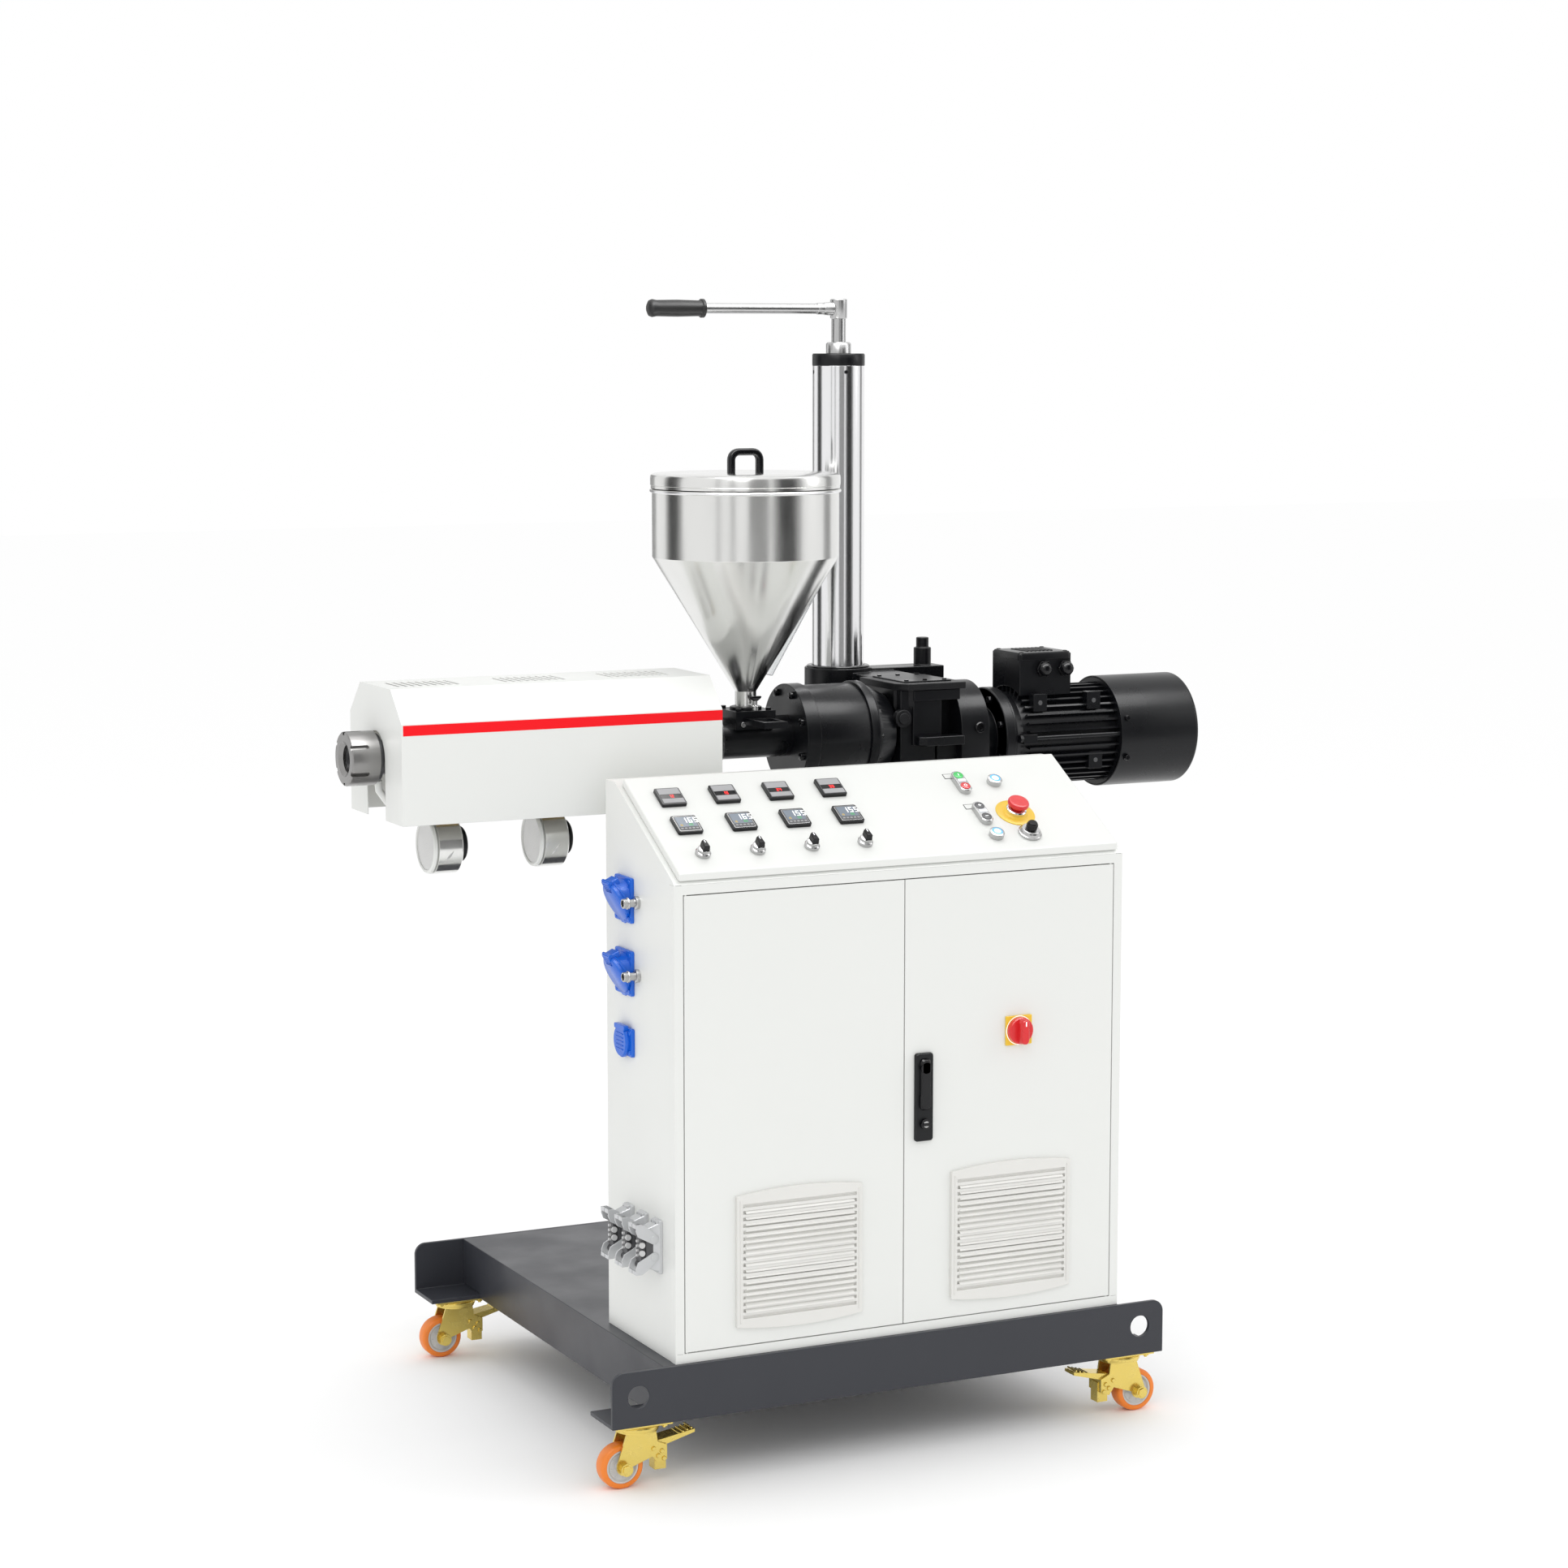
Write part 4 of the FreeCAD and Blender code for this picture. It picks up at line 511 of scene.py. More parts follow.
def grille(side):
    """Door grille with slanted louvres and a rim on either side."""
    node, body = "vent_" + side, side + "_door"
    keep(node, "vent_plastic", 0.8, flatten=False)
    low, high = span(node)
    slats = Piece(body, "louvres_" + side, "vent_plastic")
    count = 18
    first = low.z + 32
    pitch = (high.z - 32 - first) / count
    for index in range(count):
        z = first + pitch * (index + 0.5)
        slats.prism([(high.y - 1.8, z + pitch * 0.46), (low.y - 1.6, z - pitch * 0.2),
                     (low.y - 1.6, z - pitch * 0.34), (high.y - 1.8, z + pitch * 0.2)],
                    low.x + 17, high.x - 17, "x")
    slats.done(0)
    rim = Piece(body, "grille_rim_" + side, "vent_plastic")
    for x in (low.x + 7, high.x - 7):
        rim.box((x - 1.2, low.y - 1.4, low.z + 16), (x + 1.2, low.y + 1, high.z - 16))
    rim.done(0.8)


def swing_handle():
    """Swing handle of the right door, with its lever, bosses and key."""
    low, high = span("door_handle")
    width, tall = high.x - low.x, high.z - low.z
    x, front, back = (low.x + high.x) / 2, low.y, high.y
    on_door = partial(Piece, "right_door", slot="black_plastic")
    plate = on_door("handle_plate", "black_plastic", stands_for=["door_handle"])
    plate.stack([(y, round_box(width - inset, tall - inset, 5, (x, (low.z + high.z) / 2)))
                 for y, inset in ((back, 0), (back - 5, 0), (back - 8, 3))], "y")
    plate.done(0.5)
    lever = on_door("handle_lever", "gloss_black")
    reach, centre = tall * 0.58, (x, low.z + tall * 0.65)
    lever.stack([(y, round_box(width * 0.56 - inset, reach - inset, 6, centre))
                 for y, inset in ((back - 6, 0), (front + 5, 0), (front + 1, 5))], "y")
    lever.done(0.6)
    lock_z = low.z + tall * 0.2
    boss = on_door("handle_boss", "gloss_black")
    boss.rod(width * 0.3, front + 1, back - 6, (x, 0, low.z + tall * 0.84), "y")
    boss.prism(round_box(width * 0.62, tall * 0.16, 4, (x, low.z + tall * 0.46)),
               front + 3, back - 6, "y")
    boss.rod(width * 0.27, front + 2, back - 6, (x, 0, lock_z), "y")
    boss.done(0.6)
    key = on_door("handle_key", "satin_steel")
    key.rod(width * 0.16, front + 1, back - 6, (x, 0, lock_z), "y").done(0.4)
    wing = on_door("handle_key_wing", "gloss_black")
    wing.prism(round_box(width * 0.5, 6, 2.5, (x + 2, lock_z)), front + 0.5, front + 4, "y")
    wing.done(0.4)


def main_switch():
    """Red rotary switch with a grip bar, on its yellow plate."""
    keep("main_switch_plate", "yellow_plastic", 1.6)
    low, high = span("main_switch_knob")
    centre, radius = (low + high) / 2, (high.z - low.z) / 2
    spot = (centre.x, 0, centre.z)
    front = high.y - (high.y - low.y) * 0.4
    knob = Piece("main_switch", "main_switch_disc", "red_plastic", None, ["main_switch_knob"])
    knob.turned([(radius, high.y), (radius, front + 2), (radius - 2, front)], spot, "y")
    knob.stack([(y, round_box(wide, 2 * radius - 3 - inset, wide / 2.2, (centre.x, centre.z)))
                for y, wide, inset in ((front + 1, 17, 0), (low.y + 2, 14.5, 1), (low.y, 11, 4))], "y")
    knob.done(0.6)
    # The white mark glows a little: painted glow, no lamp.
    mark = Piece("main_switch", "main_switch_mark", "white_lit_digits_and_painted_glow_marks", "red_plastic")
    mark.box((centre.x - 1, low.y - 0.2, centre.z + radius * 0.45),
             (centre.x + 1, low.y + 0.4, centre.z + radius * 0.8))
    mark.done(0)
    plate_y = span("main_switch_plate")[0].y
    # The white scale ring glows a little as well: painted glow, no lamp.
    scale = Piece("right_door", "main_switch_scale", "white_lit_digits_and_painted_glow_marks", "yellow_plastic")
    scale.lathe([(radius + 1, plate_y - 0.3), (radius + 2.2, plate_y - 0.3),
                 (radius + 2.2, plate_y + 0.5), (radius + 1, plate_y + 0.5)], spot, "y")
    scale.done(0)


# ---- connectors on the cabinet's side --------------------------------------------

def socket_flange(name, wall, centre, width, tall):
    """Square blue flange with four screws."""
    y, z = centre
    flange = on_base(name + "_flange", "blue_plastic", None, ["side_sockets"])
    flange.stack([(x, round_box(width - inset, tall - inset, 4, centre))
                  for x, inset in ((wall, 0), (wall - 5, 0), (wall - 6.5, 2))], "x")
    for dy in (8 - width / 2, width / 2 - 8):
        for dz in (8 - tall / 2, tall / 2 - 8):
            flange.lathe([(0, wall - 9), (4, wall - 8), (4.6, wall - 6), (0, wall - 6)],
                         (0, y + dy, z + dz), "x", 20)
    flange.done(0.7)


def small_socket(name, wall, tip, centre, radius):
    """Round lid with a hinge block and cross ribs."""
    y, z = centre
    lid = on_base(name + "_lid", "blue_plastic")
    lid.turned([(radius, wall - 5), (radius, tip + 3), (radius - 3, tip)], (0, y, z), "x")
    lid.prism(round_box(radius * 1.5, 9, 2, (y, z + radius * 0.86)), tip - 1, wall - 6, "x")
    lid.done(0.7)
    ribs = on_base(name + "_ribs", "blue_plastic")
    for index in range(5):
        height = z + (index - 2) * 7
        ribs.tube([(tip - 0.5, y - radius * 0.5, height), (tip - 0.5, y + radius * 0.5, height)], 1, 10)
    ribs.done(0)


def mains_socket(name, wall, tip, centre):
    """Slanted round body with a hinged ribbed lid."""
    y, z = centre
    radius, slant = 35, math.radians(-26)
    tilt = Matrix.Translation((tip + 31, y, z)) @ Matrix.Rotation(slant, 4, "Y")
    body = on_base(name + "_body", "blue_plastic")
    lid = ((0, radius), (0, radius + 3), (-4, radius + 4), (-4.5, radius + 2.5), (-6, radius + 2.5),
           (-6.5, radius + 4), (-11, radius + 3), (-13, radius))
    rings = [[(wall - 5, a, b) for a, b in ring_of(radius + 1, centre, 56)]]
    rings += [[tilt @ Vector((out, a, b)) for a, b in ring_of(size, count=56)] for out, size in lid]
    body.patch(rings).done(0.5)
    hinge = on_base(name + "_hinge", "blue_plastic", place=tilt)
    hinge.prism(round_box(30, 14, 3, (0, radius - 1)), -14, 8, "x")
    hinge.tube([(-9, -17, radius + 5), (-9, 17, radius + 5)], 3.2, 16)
    hinge.prism(round_box(18, 8, 2, (0, -radius - 3)), -13, -1, "x")
    for index in range(6):
        height = radius + 2 - index * 3
        hinge.tube([(-14, -12, height), (-14, 12, height)], 0.9, 8)
    hinge.done(0.6)


def signal_plug(name, low, high):
    """Stepped round connector with a deep mouth."""
    centre, radius, reach = (low + high) / 2, (high.z - low.z) / 2, high.x - low.x
    plug = on_base(name, "satin_steel", None, ["side_sockets"])
    steps = ((0, 0), (1, 0), (1, 0.2), (0.9, 0.24), (0.62, 0.25), (0.62, 0.6), (0.86, 0.62),
             (0.92, 0.68), (0.86, 0.74), (0.74, 0.76))
    mouth = ((0.74, 1), (0.66, 0), (0.5, 0), (0.5, 10), (0, 10))
    plug.lathe([(radius * size, high.x - reach * along) for size, along in steps]
               + [(radius * size, low.x + along) for size, along in mouth],
               (0, centre.y, centre.z), "x", 40)
    plug.done(0.3)


def side_connectors():
    """Blue sockets from the top down, round connectors and latched heavy connectors."""
    boxes = sorted(solids("side_sockets"), key=lambda box: -box[0].z)
    sockets = [box for box in boxes if box[1].y - box[0].y > 40]
    for index, (low, high) in enumerate(sockets, start=1):
        name, centre = f"mains_socket_{index}", ((low.y + high.y) / 2, (low.z + high.z) / 2)
        width = min(high.y - low.y, 84)
        socket_flange(name, high.x, centre, width, high.z - low.z)
        if index == len(sockets):
            small_socket(name, high.x, low.x, centre, width * 0.4)
        else:
            mains_socket(name, high.x, low.x, centre)
    plugs = [box for box in boxes if box not in sockets]
    for index, (low, high) in enumerate(plugs, start=1):
        signal_plug(f"signal_plug_{index}", low, high)
    for index, (low, high) in enumerate(solids("heavy_connectors"), start=1):
        heavy_connector(f"heavy_connector_{index}", low, high)


def heavy_connector(name, low, high):
    """Pale cast housing with a dark insert, pins, slots drawn as gloss black patches of painted shade,
    and curved levers.
    """
    wall, reach = high.x, high.x - low.x
    centre = ((low.y + high.y) / 2, (low.z + high.z) / 2)
    width, tall = high.y - low.y, high.z - low.z
    y, z = centre
    house = on_base(name + "_housing", "grey_casting", None, ["heavy_connectors"])
    house.stack([(x, round_box(width - inset, tall - 3 * inset, 3, centre))
                 for x, inset in ((wall, 0), (wall - 6, 0), (wall - 8, 3), (wall - reach * 0.5, 8))], "x")
    house.box((wall - 11, y - width * 0.36, high.z - 12), (wall - 5, y + width * 0.36, high.z - 1))
    house.done(0.7)
    connector_insert(name, wall, reach, centre, width, tall)
    connector_levers(name, wall, reach, centre, width, tall)
    on_pad = partial(on_base, slot="black_plastic")
    pads = on_pad(name + "_pads", "dark_grey")
    for end in (-1, 1):
        pads.rod(7, y - width * 0.4, y + width * 0.4,
                 (wall - reach * 0.62, 0, z + end * tall * 0.33), "y", 32)
    pads.done(0.5)
    # The slots are thin gloss black patches on the flange: painted shade, not openings.
    slots = on_pad(name + "_flange_slot_shade", "gloss_black")
    for slot_y in (y - width * 0.27, y + width * 0.27):
        slots.box((wall - 11.2, slot_y - 1.2, high.z - 9), (wall - 10.5, slot_y + 1.2, high.z - 4))
    slots.done(0)


def connector_insert(name, wall, reach, centre, width, tall):
    """Dark insert with round pads, and pale pins."""
    y, z = centre
    insert = on_base(name + "_insert", "dark_grey", "black_plastic")
    insert.prism(round_box(width * 0.84, tall * 0.62, 3, centre), wall - reach * 0.56, wall - 6, "x")
    insert.prism(round_box(width * 0.6, tall * 0.5, 3, centre), wall - reach * 0.72, wall - 6, "x")
    for end in (-1, 1):
        insert.rod(width * 0.16, y - width * 0.34, y + width * 0.34,
                   (wall - reach * 0.62, 0, z + end * tall * 0.2), "y", 32)
    insert.done(0.6)
    pins = on_base(name + "_pins", "hub_grey", "grey_casting")
    edge = y - width / 2 + 2.5
    for end in (-1, 1):
        pins.rod(5.2, edge - 1.5, edge + 3, (wall - reach * 0.7, 0, z + end * tall * 0.075), "y", 32)
    for step in range(4):
        pins.rod(2.4, wall - reach * 0.8, wall - reach * 0.7,
                 (0, y, z + (step - 1.5) * tall * 0.09), "x", 20)
    pins.done(0.3)


def lever_outline(wall, reach, z, tall, end):
    """Side view of a lever that curves from its pivot out to its grip, with the pivot and grip."""
    pivot = Vector((wall - reach * 0.30, z + end * tall * 0.17))
    knee = Vector((wall - reach * 0.86, z + end * tall * 0.24))
    grip = Vector((wall - reach + 3, z + end * tall * 0.47))
    heel = Vector((wall - reach * 0.52, z + end * tall * 0.40))
    angles = [math.radians(20 * step - 110) for step in range(10)]
    outline = [knee] + [pivot + Vector((math.cos(a), end * math.sin(a))) * 9 for a in angles]
    outline += [heel, grip + Vector((12, 0)), grip, grip + Vector((1, -9 * end)),
                (grip + knee) / 2 - Vector((2, 0))]
    return outline, pivot, grip


def connector_levers(name, wall, reach, centre, width, tall):
    """Two levers, each of two side plates joined by grip bars."""
    y, z = centre
    levers = on_base(name + "_levers", "grey_casting")
    for end in (-1, 1):
        outline, pivot, grip = lever_outline(wall, reach, z, tall, end)
        for side in (-1, 1):
            edge = y + side * (width / 2 - 1.6)
            levers.prism(outline, edge - 1.5, edge + 1.5, "y")
            levers.rod(6.5, edge - 2.3, edge + 2.3, (pivot.x, 0, pivot.y), "y", 28)
        low_z, high_z = sorted((grip.y, grip.y - end * 7))
        for bar_y in (y - width * 0.26, y + width * 0.26):
            levers.box((grip.x, bar_y - width * 0.22, low_z), (grip.x + 3, bar_y + width * 0.22, high_z))
    levers.done(0.5)


cabinet()
swing_handle()
main_switch()
side_connectors()


# ---- console ---------------------------------------------------------------------
# Console places run along the machine, up the slope and out of the console's face.

def console_place():
    """Place at the left end of the lid's front fold, z out of the sloping face."""
    low = span("console_lid")[0]
    out = Vector(joint("selector_turn_1")["axis"])
    up = out.cross(X)
    peak = max(corners_of("console_lid"), key=lambda corner: corner.z)
    start = peak - up * ((peak.y - low.y) / up.y)
    start.x = low.x
    return Matrix.Translation(start) @ Matrix((X, up, out)).transposed().to_4x4()


CONSOLE = console_place()
BEZELS = solids("control_bezels", CONSOLE)
on_console = partial(Piece, "base", place=CONSOLE)
on_meter = partial(Piece, "base", slot="black_plastic", place=CONSOLE)
SEGMENTS = {
    "0": "abcdef", "1": "bc", "2": "abged", "3": "abgcd", "4": "fgbc", "5": "afgcd",
    "6": "afgedc", "7": "abc", "8": "abcdefg", "9": "abcdfg",
}


def digits(piece, text, x, y, z, height):
    """Seven-segment digits as thin bars, starting at x, standing on y."""
    width, bar, half = height * 0.5, height * 0.13, height / 2
    places = {
        "a": (0, height - bar, width, height), "d": (0, 0, width, bar),
        "g": (0, half - bar / 2, width, half + bar / 2),
        "f": (0, half, bar, height), "b": (width - bar, half, width, height),
        "e": (0, 0, bar, half), "c": (width - bar, 0, width, half),
    }
    for index, character in enumerate(text):
        start = x + index * width * 1.45
        for segment in SEGMENTS[character]:
            x0, y0, x1, y1 = places[segment]
            piece.box((start + x0, y + y0, z), (start + x1, y + y1, z + 0.15))
    piece.done(0)


def upper_meter(name, box, shown):
    """Panel meter with a grey face and a dark window with red digits."""
    low, high = box
    side, x, y, top = high.x - low.x, middle(box).x, middle(box).y, high.z
    rim = on_meter(name + "_rim", "gloss_black", stands_for=["panel_meters"])
    rim.prism(round_box(side, side, 3, (x, y)), low.z, top).done(0.7)
    face = on_meter(name + "_face", "dark_grey")
    face.prism(round_box(side - 4, side - 4, 2, (x + 0.6, y + 0.6)), low.z, top + 0.5).done(0.3)
    panel = on_meter(name + "_panel", "grey_plastic")
    panel.box((low.x + 4, y + side * 0.1, low.z), (high.x - 3, high.y - 3, top + 0.8))
    panel.box((low.x + 4, low.y + 4, low.z), (high.x - 3, y - side * 0.16, top + 0.8))
    panel.done(0.2)
    window = on_meter(name + "_window", "gloss_black")
    window.box((low.x + 4, y - side * 0.15, low.z), (high.x - 3, y + side * 0.09, top + 0.7))
    window.done(0.1)
    figures = on_console(name + "_figures", "digit_red", "red_plastic")
    digits(figures, shown, x - side * 0.08, y - side * 0.11, top + 0.7, side * 0.16)


def lower_meter(name, box, shown):
    """Temperature controller: dark bezel, pale display with digits, keys along the bottom."""
    low, high = box
    side, x, y, top = high.x - low.x, middle(box).x, middle(box).y, high.z
    rim = on_meter(name + "_rim", "gloss_black", stands_for=["panel_meters"])
    rim.prism(round_box(side, side, 4, (x, y)), low.z, top).done(1.0)
    edge = on_meter(name + "_edge", "satin_steel")
    edge.prism(round_box(side - 6, side - 6, 3, (x, y)), low.z, top + 0.5).done(0.3)
    face = on_meter(name + "_face", "dark_grey")
    face.prism(round_box(side - 8, side - 8, 2, (x, y)), low.z, top + 0.7).done(0.2)
    base, top = low.y + side * 0.3, top + 0.9
    glass = on_meter(name + "_display", "display")
    glass.box((low.x + 6, base, low.z), (high.x - 6, high.y - 6, top)).done(0.1)
    digits(on_meter(name + "_figures", "white_lit_digits_and_painted_glow_marks"), shown,
           x - side * 0.12, y + side * 0.02, top, side * 0.30)
    digits(on_console(name + "_set_value", "yellow_plastic"), shown[:2],
           low.x + side * 0.17, base + side * 0.05, top, side * 0.1)
    digits(on_console(name + "_output", "green_plastic"), shown[1:],
           x + side * 0.06, base + side * 0.05, top, side * 0.12)
    keys = on_meter(name + "_keys", "grey_plastic")
    for index in range(5):
        spot = (low.x + side * (0.2 + 0.15 * index), low.y + side * 0.2)
        keys.prism(round_box(side * 0.1, side * 0.07, 1, spot), low.z, high.z + 1.3)
    keys.done(0.2)


def meters():
    """Two rows of panel instruments."""
    boxes = sorted(solids("panel_meters", CONSOLE), key=lambda box: (-round(box[0].y), box[0].x))
    for index, shown in enumerate(("12", "18", "24", "30")):
        upper_meter(f"meter_{index + 1}", boxes[index], shown)
    for index, shown in enumerate(("165", "165", "155", "155")):
        lower_meter(f"controller_{index + 1}", boxes[index + 4], shown)


def selector(index, box):
    """Satin collar and cap under a black pointer with a white line."""
    high, radius = box[1], (box[1].x - box[0].x) / 2
    x, y = middle(box).x, middle(box).y
    collar = on_console(f"selector_collar_{index}", "satin_steel", None, ["control_bezels"])
    collar.turned([(radius, 0), (radius, high.z * 0.7), (radius - 2.5, high.z)], (x, y, 0)).done(0.5)
    node = f"selector_knob_{index}"
    base, tip = solids(node, CONSOLE)[0]
    foot, disc_top = (tip.x - base.x) / 2, base.z + (tip.z - base.z) * 0.26
    on_knob = partial(Piece, f"selector_{index}", place=CONSOLE)
    cap = on_knob(f"selector_cap_{index}", "satin_steel")
    cap.turned([(foot, base.z), (foot, disc_top), (foot - 1.5, disc_top + 1)], (x, y, 0), steps=48)
    cap.done(0.3)
    pointer = on_knob(f"selector_pointer_{index}", "gloss_black", "black_plastic", [node])
    pointer.stack([
        (z, [(x - w, y - foot + 1 + s), (x + w, y - foot + 1 + s), (x + w * 0.8, y + foot - 2 - s),
             (x, y + foot + 1 - s), (x - w * 0.8, y + foot - 2 - s)])
        for w, s, z in ((6.2, 0, disc_top), (5.6, 0.5, tip.z - 2), (4.4, 1.5, tip.z))])
    pointer.done(0.6)
    # The white line glows a little: painted glow, no lamp.
    line = on_knob(f"selector_line_{index}", "white_lit_digits_and_painted_glow_marks", "black_plastic")
    line.box((x - 0.8, y + 1, tip.z - 0.2), (x + 0.8, y + foot - 3, tip.z + 0.25)).done(0)


def speed_control(box):
    """Stepped silver base with a black grooved cap."""
    centre, radius, tall = middle(box), (box[1].x - box[0].x) / 2, box[1].z
    spot = (centre.x, centre.y, 0)
    base = on_console("speed_base", "satin_steel")
    base.turned([(radius, 0), (radius, tall * 0.35), (radius - 2, tall * 0.45),
                 (radius - 2, tall * 0.6), (radius - 6, tall)], spot)
    base.done(0.5)
    low, high = solids("speed_knob", CONSOLE)[0]
    radius = (high.x - low.x) / 2
    cap = Piece("speed_control", "speed_cap", "gloss_black", "black_plastic", ["speed_knob"], CONSOLE)
    cap.turned([(radius, low.z), (radius - 0.5, high.z - 2.5), (radius - 2.5, high.z)], spot)
    for x, y in ring_of(radius - 0.4, spot, 18):
        cap.rod(0.9, low.z + 1, high.z - 4, (x, y, 0), steps=10)
    cap.done(0.3)


def stop_control(box):
    """Yellow disc, raised boss, chrome ring and a red mushroom head."""
    centre, radius, rim = middle(box), (box[1].x - box[0].x) / 2, box[1].z
    spot = (centre.x, centre.y, 0)
    low, high = solids("stop_button", CONSOLE)[0]
    stem = (high.x - low.x) / 2
    hole = stem * 0.5 + 0.8
    disc = on_console("stop_disc", "yellow_plastic")
    disc.lathe([(hole, 0), (radius, 0), (radius, 1.4), (radius - 1, 2.2), (stem + 3, 2.2), (stem, 5),
                (hole, 5)], spot)
    disc.done(0.3)
    ring = on_console("stop_ring", "chrome", "satin_steel")
    ring.lathe([(stem * 0.62, 0), (stem * 0.95, 0), (stem * 0.95, rim - 2), (stem * 0.85, rim),
                (stem * 0.62, rim)], spot)
    ring.done(0.4)
    head = Piece("stop_control", "stop_head", "red_plastic", None, ["stop_button"], CONSOLE)
    head.lathe([(0, low.z), (stem * 0.5, low.z), (stem * 0.5, rim + 3), (stem * 0.72, rim + 7),
                (stem * 0.97, rim + 8), (stem, rim + 10), (stem, high.z - 4),
                (stem * 0.93, high.z - 1.2), (stem * 0.8, high.z - 0.2), (stem * 0.7, high.z),
                (stem * 0.55, high.z - 0.6), (0, high.z - 0.9)], spot)
    head.done(0.3)


def oval(width, length, centre, inset=0.0, steps=12):
    """Outline of an upright oblong with round ends."""
    radius, reach = width / 2 - inset, length / 2 - width / 2
    points = []
    for end, start in ((1, 0), (-1, math.pi)):
        for step in range(steps + 1):
            angle = start + math.pi * step / steps
            points.append((centre.x + radius * math.cos(angle),
                           centre.y + end * reach + radius * math.sin(angle)))
    return points


def button_mark(piece, sign, x, y, z):
    """A raised bar, ring, plus or minus."""
    if sign == "O":
        piece.lathe([(2.2, z), (3.3, z), (3.3, z + 0.2), (2.2, z + 0.2)], (x, y, 0), steps=32)
    if sign in "+-":
        piece.box((x - 3.2, y - 0.7, z), (x + 3.2, y + 0.7, z + 0.2))
    if sign in "I+":
        piece.box((x - 0.7, y - 3.2, z), (x + 0.7, y + 3.2, z + (0.2 if sign == "I" else 0.22)))
    piece.done(0)


def button_pair(name, box, keys):
    """Two round keys, a small lens and a bare label plate on an oblong body."""
    centre, high = middle(box), box[1]
    width, length = high.x - box[0].x, high.y - box[0].y
    body = on_console(name + "_body", "satin_steel", None, ["push_buttons"])
    body.stack([(z, oval(width, length, centre, inset))
                for inset, z in ((0, 0), (0, high.z - 3), (1.5, high.z - 1.5))])
    body.done(0.3)
    radius = width / 2 - 2.6
    for part, side, sign, surface, slot in keys:
        spot = (centre.x, centre.y + side * length * 0.27, 0)
        key = on_console(f"{name}_{part}", surface, slot)
        key.turned([(radius, 0), (radius, high.z - 0.8), (radius - 1, high.z)], spot, steps=40).done(0)
        # The white key signs glow a little: painted glow, no lamp.
        mark = on_console(f"{name}_{part}_mark", "white_lit_digits_and_painted_glow_marks", slot)
        button_mark(mark, sign, spot[0], spot[1], high.z)
    lens = on_console(name + "_lens", "lamp_white")
    lens.prism(round_box(width * 0.62, length * 0.12, 1.5, centre), 0, high.z + 0.4).done(0.3)
    x0, y0 = centre.x - width * 0.95, centre.y + length * 0.34
    x1, y1 = centre.x, y0 + length * 0.24
    label = on_meter(name + "_label_rim", "gloss_black")
    label.box((x0, y0, 0), (x1, y1, 0.3)).done(0)
    plate = on_console(name + "_label", "white_paint")
    plate.box((x0 + 1.2, y0 + 1.2, 0), (x1 - 1.2, y1 - 1.2, 0.5)).done(0)


def lamp_button(index, box):
    """Satin ring round a blue glow and a white face."""
    centre, radius, top = middle(box), (box[1].x - box[0].x) / 2, box[1].z
    spot = (centre.x, centre.y, 0)
    ring = on_console(f"lamp_ring_{index}", "satin_steel", None, ["push_buttons"])
    ring.turned([(radius, 0), (radius, top - 2), (radius - 2, top - 0.5)], spot).done(0.4)
    glow = on_console(f"lamp_glow_{index}", "lamp_blue", "blue_plastic")
    glow.rod(radius * 0.72, 0, top - 0.2, spot, steps=64).done(0.2)
    face = on_console(f"lamp_face_{index}", "lamp_white")
    face.turned([(radius * 0.52, 0), (radius * 0.5, top)], spot).done(0.2)


def push_buttons():
    """Two button pairs and two lamp buttons."""
    boxes = solids("push_buttons", CONSOLE)
    pairs = sorted((box for box in boxes if box[1].y - box[0].y > 1.3 * (box[1].x - box[0].x)),
                   key=lambda box: -box[0].y)
    # The green start key glows a little: painted glow, no lamp.
    button_pair("start_stop", pairs[0], (("upper", 1, "I", "green_plastic", "green_plastic"),
                                         ("lower", -1, "O", "red_plastic", "red_plastic")))
    button_pair("faster_slower", pairs[1], (("upper", 1, "+", "dark_grey", "black_plastic"),
                                            ("lower", -1, "-", "dark_grey", "black_plastic")))
    lamps = [box for box in boxes if box not in pairs]
    for index, box in enumerate(lamps, start=1):
        lamp_button(index, box)


meters()
for number, bezel in enumerate(BEZELS[:4], start=1):
    selector(number, bezel)
speed_control(min(BEZELS[4:], key=lambda box: box[0].y))
stop_control(max(BEZELS[4:], key=lambda box: box[0].y))
push_buttons()


# ---- barrel, feed and hopper -----------------------------------------------------

def barrel():
    """Shroud with its red stripe, barrel, nozzle nut and the blowers below."""
    keep("barrel_shroud", "white_paint", 0.9)
    keep("barrel", "dark_machined", 0.8)
    keep("heater_bands", "brass_band", 0.6)
    keep("nozzle_nut", "nut_steel", 0.9)
    low, high = span("barrel_shroud")
    fold = max(corner.z for corner in corners_of("barrel_shroud") if corner.y < low.y + 0.5)
    stripe = on_extruder("red_stripe", "red_paint", "red_plastic")
    stripe.box((low.x + 3, low.y - 0.35, fold - 20.5), (high.x, low.y + 0.2, fold - 2)).done(0)
    nut = span("nozzle_nut")
    y, z = middle(nut).y, middle(nut).z
    bore = on_extruder("nozzle_bore", "dark_machined")
    bore.lathe([(16, 14), (24.6, 12), (24.6, 20), (16, 20)], (nut[0].x, y, z), "x").done(0.4)
    cable = on_extruder("heater_cable", "white_paint")
    cable.tube([(low.x + 8, y + 12, z - 44), (low.x + 10, y + 14, z - 62),
                (low.x + 26, y + 16, z - 84), (low.x + 60, y + 18, z - 92)], 7).done(0)
    for index, box in enumerate(solids("cooling_blowers"), start=1):
        blower(index, box)


